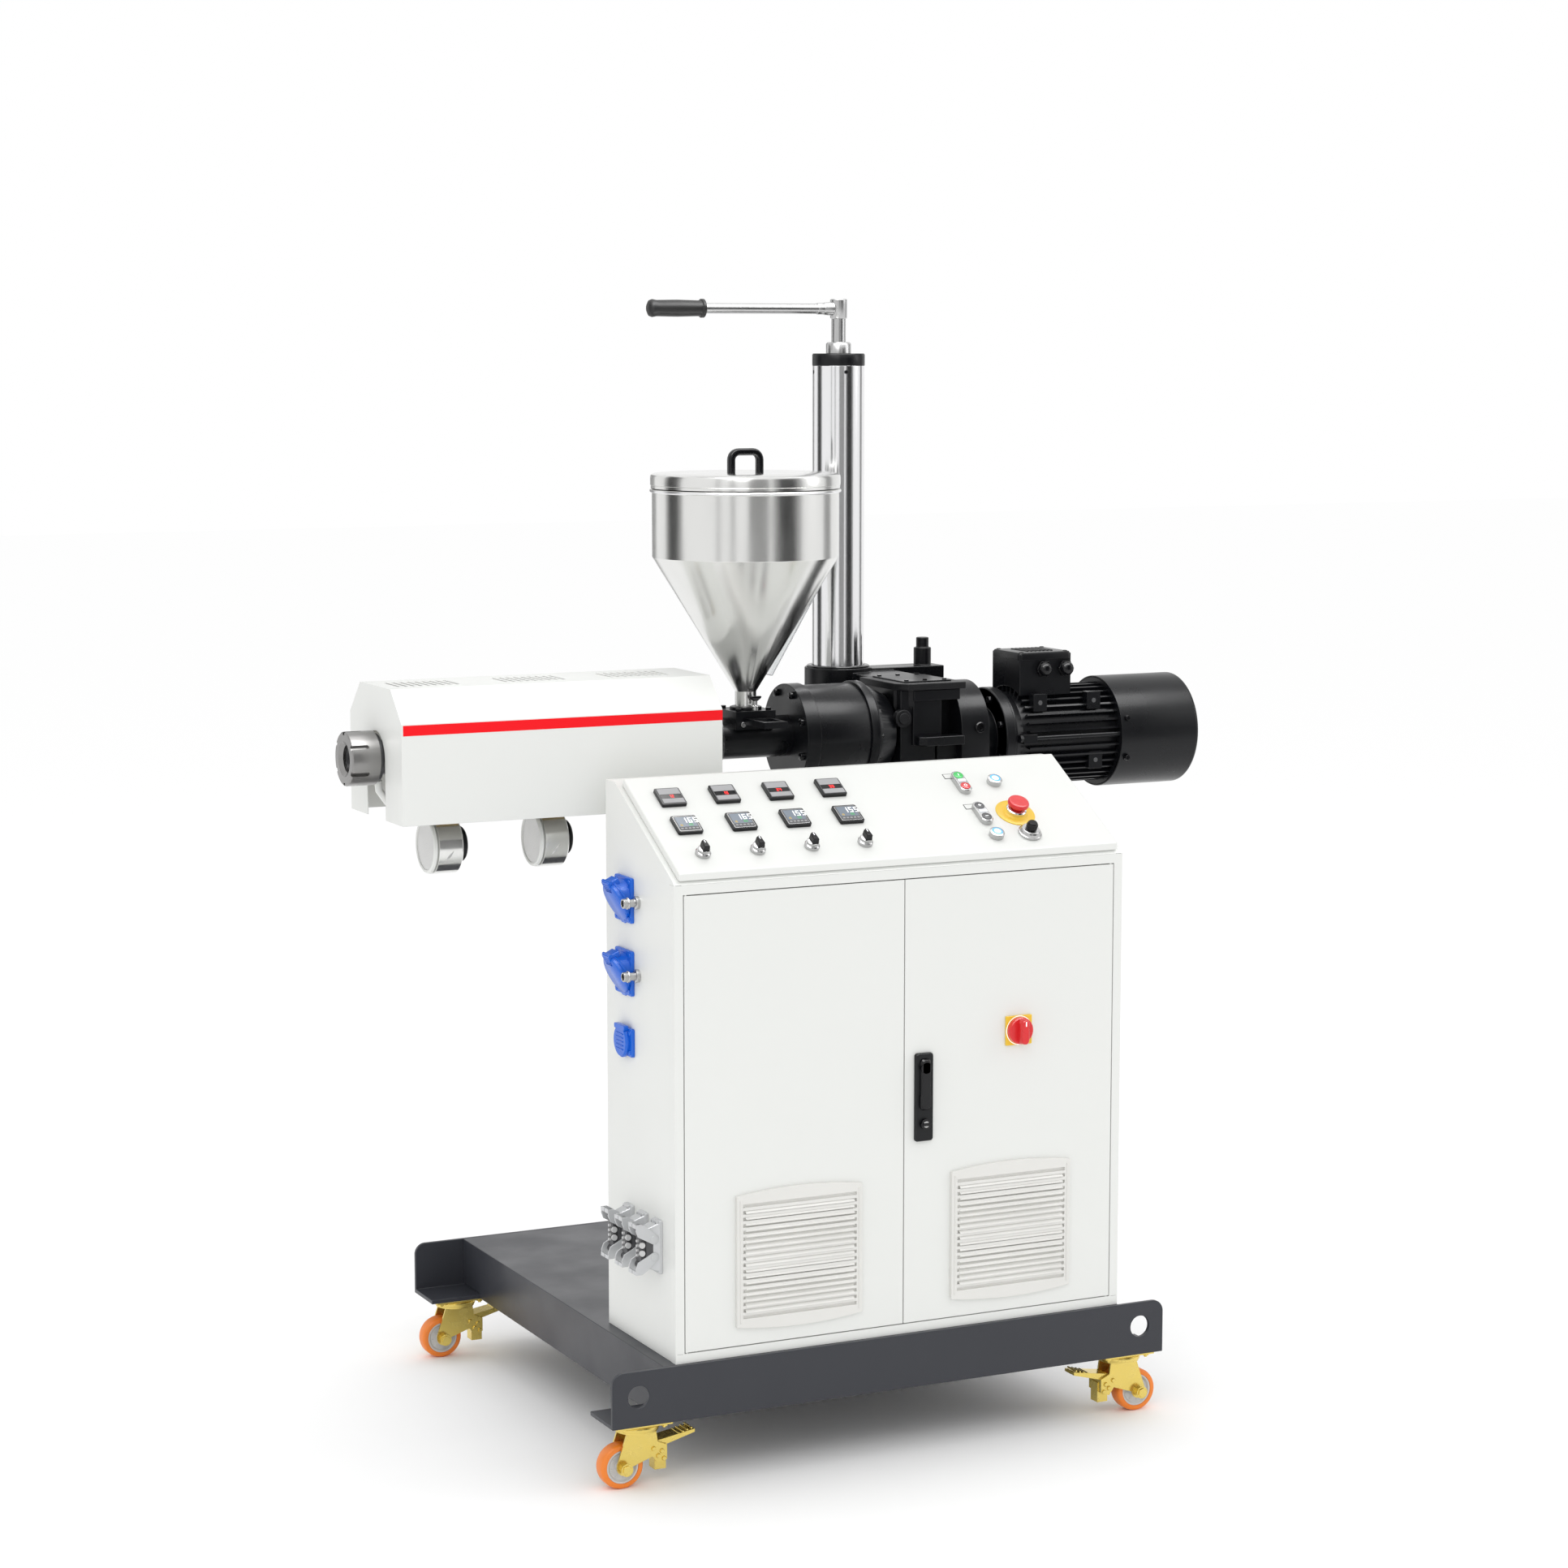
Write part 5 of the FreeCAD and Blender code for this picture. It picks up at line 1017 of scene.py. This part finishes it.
def blower(index, box):
    """Polished drum with a perforated face, a white rim and a scoop, on its duct."""
    low, high = box
    radius, deep, back = (high.y - low.y) / 2, high.x - low.x, 57
    y, z = middle(box).y, low.z + radius
    spot = (low.x, y, z)
    on_blower = partial(Piece, "extruder", slot="polished_steel")
    drum = on_blower(f"blower_drum_{index}", "polished_steel", stands_for=["cooling_blowers"])
    drum.turned([(radius - 6, 6), (radius - 5, 9), (radius, 10), (radius, back - 3),
                 (radius - 3, back)], spot, "x", 96).done(0.5)
    rim = on_blower(f"blower_rim_{index}", "white_paint")
    rim.lathe([(radius - 8, 1), (radius - 5, 0), (radius - 2, 2), (radius - 1, 6), (radius - 5, 9),
               (radius - 8, 8)], spot, "x", 96).done(0)
    on_blower(f"blower_face_{index}", "perforated").rod(radius - 7, 2.5, 7, spot, "x", 64).done(0)
    hub = on_blower(f"blower_hub_{index}", "black_paint")
    hub.turned([(32, back), (32, deep - 3), (29, deep)], spot, "x")
    hub.prism(round_box(44, high.z - z - 4, 2, (y, (high.z + z) / 2 + 2)), low.x + 8, low.x + 50, "x")
    hub.done(0.6)
    rings = []
    for step in range(9):
        along = step / 8
        angle = math.radians(-150 - 26 * along)
        bulge = 2.4 * math.sin(math.pi * along)
        x = low.x + 22 + 16 * along
        section = ((-bulge * 1.6 - 0.3, 0), (0, bulge + 0.1), (bulge * 0.9 + 0.3, 0), (0, -1))
        rings.append([(x + dx, y + (radius - 0.4 + lift) * math.cos(angle),
                       z + (radius - 0.4 + lift) * math.sin(angle)) for dx, lift in section])
    on_blower(f"blower_scoop_{index}", "satin_steel").patch(rings).done(0)


def feed():
    """Feed section with bolts, the slide gate with its plunger, and the plate under the neck."""
    keep("feed_section", "black_paint", 0.9)
    keep("feed_gate", "black_paint", 0.9)
    neck = span("hopper_body")
    x, y, foot = middle(neck).x, middle(neck).y, neck[0].z
    collar = on_drive("neck_flange", "black_paint")
    collar.lathe([(20.2, 0), (30, 0), (30, 5), (27, 6), (20.2, 6)], (x, y, foot))
    for dx, dy in ((-31, -34), (31, -34), (-31, 34), (31, 34)):
        collar.prism(ring_of(6, (x + dx, y + dy)), foot, foot + 5)
    collar.done(0.5)
    spot = (x + 4, y - 33, foot)
    plunger = on_drive("index_plunger", "satin_steel")
    plunger.turned([(7, 0), (7, 8), (4, 10), (4, 20)], spot, steps=32).done(0.4)
    head = on_drive("plunger_head", "gloss_black")
    head.stack([(foot + up, round_box(width, deep, 2.5, spot))
                for up, width, deep in ((18, 9, 8), (23, 22, 9), (26, 24, 9), (27, 22, 8))])
    head.done(0.4)
    screws = on_drive("feed_screws", "satin_steel")
    for dx in (-28, 28):
        screws.rod(5, -6, 0.5, (x + dx, span("feed_section")[0].y, foot - 24), "y", 32)
    screws.done(0.4)


def hopper():
    """Polished hopper with its clamp ring, sight strip and lid."""
    keep("hopper_body", "polished_steel", 0.5)
    low, high = span("hopper_lid")
    x, y = middle((low, high)).x, middle((low, high)).y
    radius = (high.x - low.x) / 2
    lid = Piece("lid", "lid_cover", "polished_steel", stands_for=["hopper_lid"])
    lid.turned([(radius - 1, low.z), (radius - 1, low.z + 5), (radius, low.z + 6),
                (radius, high.z - 6), (radius - 1.6, high.z - 2), (radius - 6, high.z)],
               (x, y, 0), steps=160)
    lid.done(0, smooth=30)
    foot, brim = (corner.z for corner in span("hopper_body"))
    ring_radius, wire_radius = 177, 2.6
    ring = on_extruder("clamp_ring", "chrome", "polished_steel")
    wire = ring_of(wire_radius, (ring_radius, brim - 5), 12)
    ring.lathe(wire, (x, y, 0), steps=160).done(0)
    strip = on_extruder("sight_strip", "clear_strip", "polished_steel")
    strip.patch([[(x + out, y - 16, height), (x + out + 3, y - 16, height),
                  (x + out + 3, y + 16, height), (x + out, y + 16, height)]
                 for height, out in ((foot + 62, 46), (foot + 262, 168))])
    strip.done(0.4)
    lid_handle()


def lid_handle():
    """Bow handle of rounded bar, standing on the lid."""
    low, high = span("hopper_handle")
    y, bar = middle((low, high)).y, (high.y - low.y) / 2
    inside, corner = bar * 0.92, 15
    bend = high.z - inside - corner
    path = [Vector((low.x + inside, y, low.z))]
    for x, start in ((low.x + inside + corner, math.pi), (high.x - inside - corner, math.pi / 2)):
        for step in range(7):
            angle = start - math.pi / 2 * step / 6
            path.append(Vector((x + corner * math.cos(angle), y, bend + corner * math.sin(angle))))
    path.append(Vector((high.x - inside, y, low.z)))
    outline = round_box(2 * inside, 2 * bar, 5)
    handle = Piece("lid", "lid_handle", "gloss_black", "black_plastic", ["hopper_handle"])
    handle.patch([[spot + Vector((along.z, 0, -along.x)) * a * 0.9 + Y * b * 0.98 for a, b in outline]
                  for spot, along in zip(path, directions(path))])
    handle.done(0)


barrel()
feed()
hopper()


# ---- gearbox and motor -----------------------------------------------------------

def gear_drum():
    """Bolted flange, drum, dark groove, ring and taper."""
    low, high = span("gear_drum")
    y, z, rim = middle((low, high)).y, middle((low, high)).z, (high.z - low.z) / 2
    keep("gear_drum", "black_paint", 1.2)
    ring = on_drive("gear_ring", "black_paint")
    ring.lathe([(80, 137), (rim - 1, 137), (rim, 139), (rim, 153), (rim - 2, 155), (80, 155)],
               (low.x, y, z), "x", 96).done(0.6)
    bolts = on_drive("gear_bolts", "gloss_black")
    for by, bz in ring_of(rim - 13, (y, z), 8, math.pi / 8):
        bolts.turned([(5, -9), (7, -7.5), (7, 0)], (low.x, by, bz), "x", 24)
    for spot in ring_of(rim - 11, (y, z), 12):
        bolts.prism(ring_of(6.5, spot), low.x + 155, low.x + 163, "x")
    bolts.done(0.4)
    return y, z


def gear_housing(y, z):
    """Cast housing with a top plate, and a panel, casting and lug at the front."""
    low, high = span("gear_housing")
    left, top, front, back, flange = low.x, high.z, y - 85, y + 85, high.x - 64
    body = on_drive("gear_case", "black_paint", stands_for=["gear_housing"])
    body.box((left + 8, front + 14, low.z), (left + 90, back, top - 12))
    body.box((left + 80, front + 50, low.z), (flange + 6, back, top - 12))
    body.box((left + 80, front + 14, low.z), (flange + 6, back, z - 24)).done(3.0, 3)
    plate = on_drive("gear_plate", "cast_black")
    plate.prism([(left, front + 22), (left + 18, front), (flange + 14, front), (flange + 14, back),
                 (left, back)], top - 13, top).done(1.6)
    cover = on_drive("gear_cover", "black_paint")
    cover.box((left + 22, front + 26, top - 1), (flange - 4, back - 12, top + 2.6)).done(1.0)
    bolts = on_drive("gear_cover_bolts", "gloss_black")
    for bx in (left + 32, (left + flange) / 2 + 8, flange - 14):
        for by in (front + 36, back - 22):
            bolts.prism(ring_of(5, (bx, by)), top + 2, top + 5)
    bolts.done(0.4)
    casting = on_drive("gear_casting", "cast_black")
    edge = front + 34
    casting.patch([
        [(left + 2, edge, top - 12), (left + 34, front + 6, top - 12), (left + 34, edge, top - 12)],
        [(left + 2, edge, top - 44), (left + 34, front + 6, top - 40), (left + 34, edge, top - 44)],
        [(left + 14, edge, top - 70), (left + 34, front + 18, top - 62), (left + 34, edge, top - 70)]])
    casting.rod(17, 4, 20, (left + 10, front, top - 66), "y")
    casting.rod(11, 1, 20, (left + 10, front, top - 66), "y", 40).done(1.6)
    panel = on_drive("gear_panel", "black_paint")
    panel.box((left + 32, front + 8, z - 24), (left + 94, front + 24, top - 16))
    panel.box((left + 32, front + 4, top - 34), (flange + 4, front + 24, top - 13)).done(2.0, 3)
    lug = on_drive("gear_lug", "black_paint")
    lug.prism([(left + 38, front - 4), (left + 50, front - 16), (flange + 4, front - 16),
               (flange + 4, front + 24), (left + 38, front + 24)], z - 24, z - 6).done(2.5, 3)
    input_flange(y, z, flange, high.x)


def input_flange(y, z, start, end, radius=90):
    """Round flange with a flat foot, and the oil plug in its side."""
    flange = on_drive("input_flange", "black_paint")
    outline = ring_of(radius, (y, z), 64)[:33]
    outline += [(y - radius, z - 62), (y - radius + 14, z - 88), (y + radius - 14, z - 88),
                (y + radius, z - 62)]
    flange.prism(outline, start + 3, end, "x").done(2.0, 3)
    plug = on_drive("oil_plug", "gloss_black")
    plug.lathe([(0, -1), (5, -1), (5, -5), (9, -5), (11, -3), (11, 4), (0, 4)],
               (start + 42, y - radius, z + 6), "y", 32).done(0.3)


def motor():
    """Motor flange with its rim and bolts, finned body, fan cover and terminal box."""
    keep("motor_flange", "black_paint", 1.4)
    keep("motor_body", "black_paint", 0.5)
    keep("fan_cover", "black_paint", 1.6)
    flange, cover = span("motor_flange"), span("fan_cover")
    start, y, z = flange[1].x, middle(flange).y, middle(cover).z
    rim = on_drive("motor_rim", "black_paint")
    for profile in ([(60, -26), (95, -26), (97, -24), (97, -6), (93, -4), (60, -4)],
                    [(60, -4), (92, -4), (90, 4), (84, 22), (60, 22)]):
        rim.lathe(profile, (start, y, z), "x", 96)
    rim.done(1.0)
    bolts = on_drive("motor_bolts", "gloss_black")
    for spot in ring_of(82, (y, z), 8, math.pi / 8):
        bolts.prism(ring_of(7, spot), start - 34, start - 25, "x")
    for up in (34.8, -43.2):
        bolts.turned([(4.5, -108.8), (6, -106), (6, -80)], (cover[0].x + 14, y, z + up), "y", 24)
    bolts.done(0.4)
    motor_pads(start + 25, y, z, cover[0].x)
    fan_grille(y, z, cover[1].x)
    terminal_box()


def motor_pads(start, y, z, cover):
    """Foot pads with holes on the side of the fins, and the tie rod along them."""
    fins, rod_y, rod_z = 97, y - 98, z + 4
    pads = on_drive("motor_pads", "black_paint")
    holes = on_drive("motor_pad_holes", "dark_grey")
    for dx, up in ((31, 70), (151, 70), (151, -46)):
        face = min(y - math.sqrt(fins ** 2 - up ** 2) - 4, y - 80)
        pads.prism(round_box(30, 34, 2.5, (start + dx, z + up)), face, y - 60, "y")
        holes.rod(4.6, -0.2, 1, (start + dx, face, z + up), "y", 24)
    tie = start - 18
    pads.box((tie, y - 104, z - 6), (tie + 30, y - 78, z + 12))
    pads.tube([(tie + 28, rod_y, rod_z), (cover + 2, rod_y, rod_z)], 4.5, 18)
    pads.prism(ring_of(8, (rod_y, rod_z)), tie - 7, tie, "x").done(0.8)
    holes.done(0.2)


def fan_grille(y, z, end):
    """Rings and spokes in the end of the fan cover."""
    grille = on_drive("fan_grille", "black_plastic")
    for radius in (24, 38, 52, 66, 80, 92):
        grille.lathe([(radius, -3), (radius + 3, -3), (radius + 3, -0.4), (radius, -0.4)],
                     (end, y, z), "x", 72)
    for inner, outer in zip(ring_of(20, (y, z), 8), ring_of(94, (y, z), 8)):
        grille.tube([(end - 1.8, *inner), (end - 1.8, *outer)], 1.6, 10)
    grille.done(0)


def terminal_box():
    """Terminal box with a seam, a ribbed lid, corner screws and two cable glands."""
    low, high = span("terminal_box")
    x, y, top = middle((low, high)).x, middle((low, high)).y, high.z
    long, wide = high.x - low.x, high.y - low.y
    keep("terminal_box", "black_paint", 2.0)
    lid = on_drive("terminal_lid", "black_paint")
    lid.stack([(top + up, round_box(long + 2 - inset, wide + 2 - inset, 8, (x, y)))
               for up, inset in ((-12, 0), (-2, 0), (2.5, 4), (3, 14))])
    for step in range(-3, 4):
        lid.tube([(x + step * 9, y + side * wide * 0.3, top + 3) for side in (-1, 1)], 2.0, 12)
    lid.done(0.8)
    seam = on_drive("terminal_seam", "gloss_black")
    seam.prism(round_box(long - 1, wide - 1, 7, (x, y)), top - 14, top - 11)
    for dx in (9 - long / 2, long / 2 - 9):
        for dy in (9 - wide / 2, wide / 2 - 9):
            seam.turned([(5, 0), (5, 3.4), (3, 4.4)], (x + dx, y + dy, top), steps=24)
    seam.done(0.4)
    glands = on_drive("cable_glands", "gloss_black")
    for share in (0.45, 0.87):
        spot = (low.x + long * share, low.y, top - 30)
        glands.prism(ring_of(17, (spot[0], spot[2])), low.y - 9, low.y + 1, "y")
        glands.turned([(6, -21), (10, -19), (13.6, -13), (14.2, -8)], spot, "y", 48)
    glands.done(0.6)


# ---- column and crank ------------------------------------------------------------

def column():
    """Chrome column with its cap, bearing nut, spindle, carriage collar, and screw holes drawn as gloss
    black discs of painted shade.
    """
    keep("column_tube", "chrome", 0.5)
    keep("column_foot", "black_paint", 1.0)
    keep("carriage", "black_paint", 2.0)
    low, high = span("column_cap")
    x, y, radius = middle((low, high)).x, middle((low, high)).y, (high.x - low.x) / 2
    top = span("column_tube")[1].z
    cap = on_base("cap_ring", "black_paint", None, ["column_cap"])
    cap.turned([(radius, 0), (radius + 0.6, 1.5), (radius + 0.6, 21), (radius - 1, 23.5)],
               (x, y, top), steps=96).done(0)
    nut = on_base("bearing_nut", "satin_steel", "black_paint")
    nut.turned([(24.5, 23.5), (24.5, 42), (23, 44), (21, 45.5)], (x, y, top), steps=72)
    nut.rod(14, top + 45, high.z, (x, y, 0)).done(0.5)
    # The screw holes are gloss black discs on the chrome: painted shade where the holes are dark, not
    # real holes.
    holes = on_base("column_screw_hole_shade", "gloss_black", "satin_steel")
    for turn in range(4):
        angle = math.radians(-100 + 90 * turn)
        out = Vector((math.cos(angle), math.sin(angle), 0))
        side = Vector((-out.y, out.x, 0))
        holes.patch([[Vector((x, y, top - 12)) + out * reach + side * a + Z * b
                      for a, b in ring_of(3.6, count=20)] for reach in (48, 51.1)])
    holes.done(0)
    collar = max(corner.z for corner in corners_of("carriage")
                 if (corner.xy - Vector((x, y))).length < 60)
    wiper = on_drive("collar_wiper", "gloss_black")
    wiper.lathe([(52, 0), (62, 0), (62, 2.5), (60, 4), (52, 4)], (x, y, collar), steps=72).done(0.4)


def crank():
    """Crank head with a side boss, stepped bar and a rubber grip with a flange."""
    low, high = span("crank_arm")
    pivot = pivot_of("crank_turn")
    spot = (pivot.x, pivot.y, middle((low, high)).z)
    head = Piece("crank", "crank_head", "satin_steel", stands_for=["crank_arm"])
    head.turned([(15, low.z), (16.5, low.z + 2), (16.5, high.z - 1.5), (15, high.z)],
                (pivot.x, pivot.y, 0), steps=48)
    head.lathe([(0, -34), (11, -34), (12, -32), (13.5, -14), (0, -4)], spot, "x", 40)
    head.turned([(10.4, -48), (11.2, -46), (11.2, -34)], spot, "x", 40).done(0.4)
    bar = Piece("crank", "crank_bar", "satin_steel")
    bar.rod(10, low.x - pivot.x, -40, spot, "x").done(0.3)
    low, high = span("crank_grip")
    radius, long = (high.z - low.z) / 2, high.x - low.x
    grip = Piece("crank", "grip_sleeve", "black_rubber", stands_for=["crank_grip"])
    grip.lathe([(0, 0), (radius * 0.55, 0.8), (radius * 0.85, 4), (radius * 0.95, 9),
                (radius * 0.86, 18), (radius * 0.9, 60), (radius * 0.84, long - 14),
                (radius * 0.86, long - 9), (radius, long - 7), (radius, long - 2),
                (radius * 0.8, long), (8, long), (8, long - 30), (0, long - 30)],
               (low.x, spot[1], spot[2]), "x", 56)
    grip.done(0)


gear_y, gear_z = gear_drum()
gear_housing(gear_y, gear_z)
motor()
column()
crank()


# ---- studio ----------------------------------------------------------------------
# Where the camera stands from the box's lowest left front corner, in metres, and how it looks.
CAMERA_STAND = (-2.03173, -5.45483, 2.00449)
CAMERA_AZIMUTH, CAMERA_DROP = 25.93, 7.20
CAMERA_LENS, CAMERA_SENSOR = 81.06, 36
# Strips mirrored by polished metal: first and last angle from the camera's side in degrees
# (positive to the right), and how light they are.
DARK_CARDS = (
    (-72, -64, 0.35), (-64, -40, 0.04), (-40, -34, 0.3), (-28, -4, 0.30), (12, 18, 0.5),
    (30, 35, 0.5), (82, 88, 0.35), (88, 106, 0.06), (106, 112, 0.35), (-128, -112, 0.3),
    (140, 165, 0.35),
)


def paint(name, **values):
    """A plain material for a sheet of the studio."""
    made = bpy.data.materials.new(name)
    made.use_nodes = True
    for label, value in values.items():
        made.node_tree.nodes["Principled BSDF"].inputs[label.replace("_", " ")].default_value = value
    return made


def matt(name, shade):
    """A grey without any shine."""
    return paint(name, Base_Color=(shade, shade, shade, 1), Roughness=1.0, Specular_IOR_Level=0.0)


def sheet(name, corners, faces, surface, only_mirrored=True):
    """A sheet of the studio, most of them only showing in shiny surfaces."""
    data = bpy.data.meshes.new(name)
    data.from_pydata(corners, [], faces)
    data.materials.append(surface)
    made = bpy.data.objects.new(name, data)
    bpy.context.scene.collection.objects.link(made)
    if only_mirrored:
        for ray in ("camera", "diffuse", "shadow", "transmission"):
            setattr(made, "visible_" + ray, False)


def card(name, start, end, shade, low=0.05, high=4.2, reach=5.5, count=6):
    """A curved strip round the part."""
    corners = []
    for step in range(count + 1):
        angle = math.radians(-90 - CAMERA_AZIMUTH - start - (end - start) * step / count)
        for height in (low, high):
            corners.append((reach * math.cos(angle), reach * math.sin(angle), height))
    faces = [(2 * k, 2 * k + 2, 2 * k + 3, 2 * k + 1) for k in range(count)]
    sheet(name, corners, faces, matt(name, shade))


def light(name, place, target, size, power):
    """A soft rectangular light turned to a target."""
    data = bpy.data.lights.new(name, "AREA")
    data.shape = "RECTANGLE"
    data.size, data.size_y = size
    data.energy = power
    lamp = bpy.data.objects.new(name, data)
    bpy.context.scene.collection.objects.link(lamp)
    lamp.location = place
    lamp.rotation_mode = "QUATERNION"
    lamp.rotation_quaternion = (Vector(target) - Vector(place)).to_track_quat("-Z", "Y")


def camera():
    """The camera, where the photo was taken from."""
    data = bpy.data.cameras.new("camera")
    data.lens = CAMERA_LENS
    data.sensor_width = CAMERA_SENSOR
    data.clip_end = 100
    viewer = bpy.data.objects.new("camera", data)
    bpy.context.scene.collection.objects.link(viewer)
    azimuth, drop = math.radians(CAMERA_AZIMUTH), math.radians(CAMERA_DROP)
    forward = Vector((math.sin(azimuth) * math.cos(drop), math.cos(azimuth) * math.cos(drop),
                      -math.sin(drop)))
    low = cad_box[0]
    viewer.location = Vector((low.x, low.y, 0)) + Vector(CAMERA_STAND)
    viewer.rotation_mode = "QUATERNION"
    viewer.rotation_quaternion = forward.to_track_quat("-Z", "Y")
    bpy.context.scene.camera = viewer


def studio():
    """Pale floor, soft light, dark cards for the polished steel to mirror, and the camera."""
    world = bpy.data.worlds.new("studio_light")
    world.use_nodes = True
    backdrop = world.node_tree.nodes["Background"]
    backdrop.inputs["Color"].default_value = (1.0, 1.0, 1.0, 1)
    backdrop.inputs["Strength"].default_value = 1.0
    bpy.context.scene.world = world
    bpy.context.scene.view_settings.view_transform = "Standard"
    reach = 30
    sheet("floor", [(-reach, -reach, 0), (reach, -reach, 0), (reach, reach, 0), (-reach, reach, 0)],
          [(0, 1, 2, 3)], matt("pale_floor", 0.99), only_mirrored=False)
    light("key", (-3.0, -4.5, 4.5), (0, 0, 0.9), (2.4, 2.0), 34)
    light("side", (5.0, -2.5, 3.2), (0, 0, 0.9), (1.2, 2.6), 24)
    light("top", (0, 0.5, 5.0), (0, 0, 1.0), (3, 2), 26)
    for index, (start, end, shade) in enumerate(DARK_CARDS):
        card(f"card_{index}", start, end, shade)
    sheet("overhead", [(-3, -2.2, 4.2), (3, -2.2, 4.2), (3, -0.4, 4.6), (-3, -0.4, 4.6)],
          [(0, 1, 2, 3)], paint("overhead", Emission_Color=(1, 1, 1, 1), Emission_Strength=7))
    camera()


studio()
